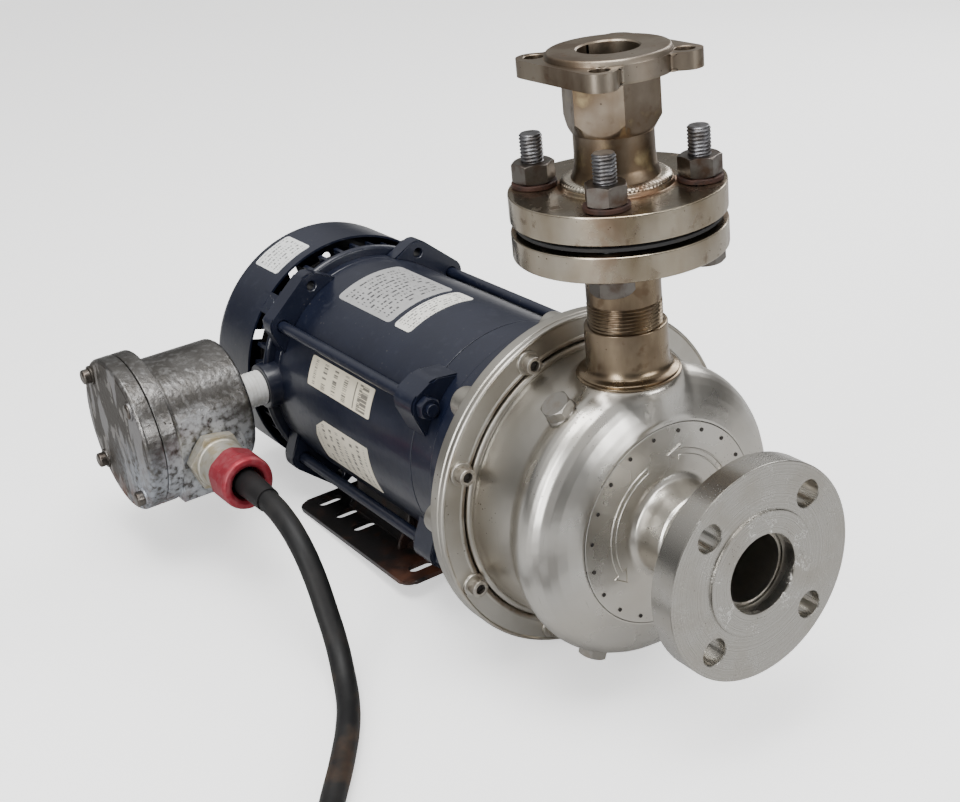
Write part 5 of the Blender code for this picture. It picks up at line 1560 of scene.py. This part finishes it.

# %% Tie
TIE_ANGLE, TIE_HALF, TIE_CORNER, TIE_LIFT = 20.0, 4.5, 4, 1.2
tie = bmesh.new()
outer_loop, inner_loop = [rounded_corners(-half_u, half_u, -half_v, half_v, TIE_CORNER, 5)
                          for half_u, half_v in ((16.0, 8.4), (15.2, 7.6))]
edges = ((-TIE_HALF, outer_loop), (-TIE_HALF, inner_loop), (TIE_HALF, inner_loop), (TIE_HALF, outer_loop))
close_loop(tie, [[tie.verts.new((u, w, v)) for u, v in points] for w, points in edges])
tie_x, tie_y = polar(0.5 * (OUTER_TURN + INNER_TURN), TIE_ANGLE)
tie_z = floor_height(COIL_Y + tie_y) + CABLE_R + TIE_LIFT
tie.transform(Matrix.Translation((COIL_X + tie_x, COIL_Y + tie_y, tie_z)) @ lean
              @ Matrix.Rotation(math.radians(TIE_ANGLE), 4, "Z"))
tie_piece = piece("coil_tie", tie, "fan")

# %% [markdown]
# ## Labels
# Labels are thin sheets that follow the shell. Their print is only rows of small dark marks, with no lettering, and
# is drawn from the sheet's own UV map.

# %% The look of a label
INK = (0.03, 0.03, 0.035)


def label_finish(name, paper, metallic, rows, header=0.0):
    """Paper or thin metal with rows of marks; with a header, a line of larger marks over a rule."""
    look = Finish(name, paper, 0.42, metallic)
    tree = look.tree
    flat = add(tree, "ShaderNodeUVMap", {"uv_map": "sheet"})
    split_uv = add(tree, "ShaderNodeSeparateXYZ", Vector=flat.outputs[0])
    line = maths(tree, "FRACT", maths(tree, "MULTIPLY", split_uv.outputs["Y"], rows))
    in_line = look.effect("band", Value=line.outputs[0], Low=0.30, High=0.68, Soft=0.06)
    row = maths(tree, "FLOOR", maths(tree, "MULTIPLY", split_uv.outputs["Y"], rows))
    words = add(tree, "ShaderNodeTexNoise", {"noise_dimensions": "2D"}, Scale=1.0, Detail=1.0,
                Vector=add(tree, "ShaderNodeCombineXYZ", X=maths(tree, "MULTIPLY", split_uv.outputs["X"], 34.0),
                           Y=maths(tree, "MULTIPLY", row, 7.3)).outputs[0]).outputs[0]
    marks = look.spread(words, 0.50, 0.54)
    inside_x = look.effect("band", Value=split_uv.outputs["X"], Low=0.06, High=0.92, Soft=0.01)
    inside_y = look.effect("band", Value=split_uv.outputs["Y"], Low=0.07, High=0.93 - header, Soft=0.01)
    print_mask = look.both(look.both(in_line, marks), look.both(inside_x, inside_y))
    look.paint(look.effect("blotches", Scale=0.08, From=0.45, To=0.75, Detail=6.0), tuple(c * 0.72 for c in paper), 0.5)
    look.paint(print_mask, INK, 0.85)
    if header:
        rule = look.effect("band", Value=split_uv.outputs["Y"], Low=0.97 - header, High=0.985 - header, Soft=0.006)
        title = look.effect("band", Value=split_uv.outputs["Y"], Low=1.03 - header, High=0.93, Soft=0.01)
        title_marks = look.spread(words, 0.44, 0.47)
        look.paint(look.both(rule, inside_x), INK, 0.9)
        look.paint(look.both(look.both(title, title_marks), inside_x), INK, 0.8)
    look.bump(look.noise(0.15, 3.0), 0.1, 0.0006)
    return look.done()


FINISH["plate_label"] = label_finish("plate_label", (0.60, 0.60, 0.60), 0.6, 13.0)
FINISH["strip_label"] = label_finish("strip_label", (0.74, 0.73, 0.68), 0.0, 6.0)
FINISH["data_label"] = label_finish("data_label", (0.72, 0.66, 0.52), 0.0, 6.0, header=0.24)
FINISH["wiring_label"] = label_finish("wiring_label", (0.70, 0.65, 0.53), 0.0, 8.0)
FINISH["cover_label"] = label_finish("cover_label", (0.78, 0.79, 0.78), 0.0, 7.0)
print("label finishes", [name for name in FINISH if name.endswith("_label")])

# %% [markdown]
# A label is first a flat outline with round corners. It is cut into strips, given its UV map and a thickness, and
# only then bent round the cylinder, so that the print bends with it.

# %% Labels on the motor
LABEL_THICK, LABEL_GAP, STRIPS = 0.25, 0.02, 24


def label(name, radius, angles, alongs, corner, cut=0.0):
    """A sheet on a cylinder: angles in degrees round the shaft, alongs in millimetres, rounded corners."""
    width = radius * math.radians(abs(angles[1] - angles[0]))
    depth = abs(alongs[1] - alongs[0])
    outline = rounded_corners(0, width, 0, depth, corner, 5)
    if cut:
        outline = [p for p in outline if not (p[0] > width - cut and p[1] < cut)]
        outline += [(width - cut, 0.0), (width - cut * 0.45, cut * 0.25), (width, cut)]
        outline.sort(key=lambda p: math.atan2(p[1] - depth / 2, p[0] - width / 2))
    shape = bmesh.new()
    shape.faces.new([shape.verts.new((x, y, 0)) for x, y in outline])
    for k in range(1, STRIPS):
        bmesh.ops.bisect_plane(shape, geom=shape.verts[:] + shape.edges[:] + shape.faces[:],
                               plane_co=(width * k / STRIPS, 0, 0), plane_no=(1, 0, 0))
    uv = shape.loops.layers.uv.new("sheet")
    for face in shape.faces:
        for loop in face.loops:
            loop[uv].uv = (loop.vert.co.x / width, loop.vert.co.y / depth)
    lifted = bmesh.ops.extrude_face_region(shape, geom=shape.faces[:])
    for item in lifted["geom"]:
        if isinstance(item, bmesh.types.BMVert):
            item.co.z = LABEL_THICK
    for vertex in shape.verts:
        a = math.radians(angles[0] + (angles[1] - angles[0]) * vertex.co.x / width)
        r = radius + LABEL_GAP + vertex.co.z
        vertex.co = (r * math.cos(a), alongs[0] + (alongs[1] - alongs[0]) * vertex.co.y / depth, r * math.sin(a))
    bmesh.ops.recalc_face_normals(shape, faces=shape.faces)
    piece(name, shape, name, sharp=40)


label("plate_label", SHELL_R, (118, 79), (205, 276), 4.0)
label("strip_label", SHELL_R, (118, 79), (180, 200), 3.0)
label("data_label", SHELL_R, (164, 149), (262, 178), 1.5)
label("wiring_label", SHELL_R, (206, 179), (256, 180), 1.5, cut=16)
label("cover_label", COVER_R, (124, 103), (342, 377), 2.5)

# %% [markdown]
# ## Parts inside
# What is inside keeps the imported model's own shape and only needs its finish.

# %% Finishes of the inner parts
INNER = {"laminated": ("stator_core", "rotor_core"), "wire": ("stator_winding",), "plug": ("impeller", "seal_plate"),
         "carbon": ("seal_seat",),
         "ground": ("shaft", "front_bearing_outer", "front_bearing_inner", "front_ball_cage", "rear_bearing_outer",
                    "rear_bearing_inner", "rear_ball_cage", "seal_rotary", "impeller_nut")}
for look, names in INNER.items():
    for name in names:
        data = frame["nodes"][name].data
        data.materials.clear()
        data.materials.append(FINISH[look])
    print(look, "on", ", ".join(names))
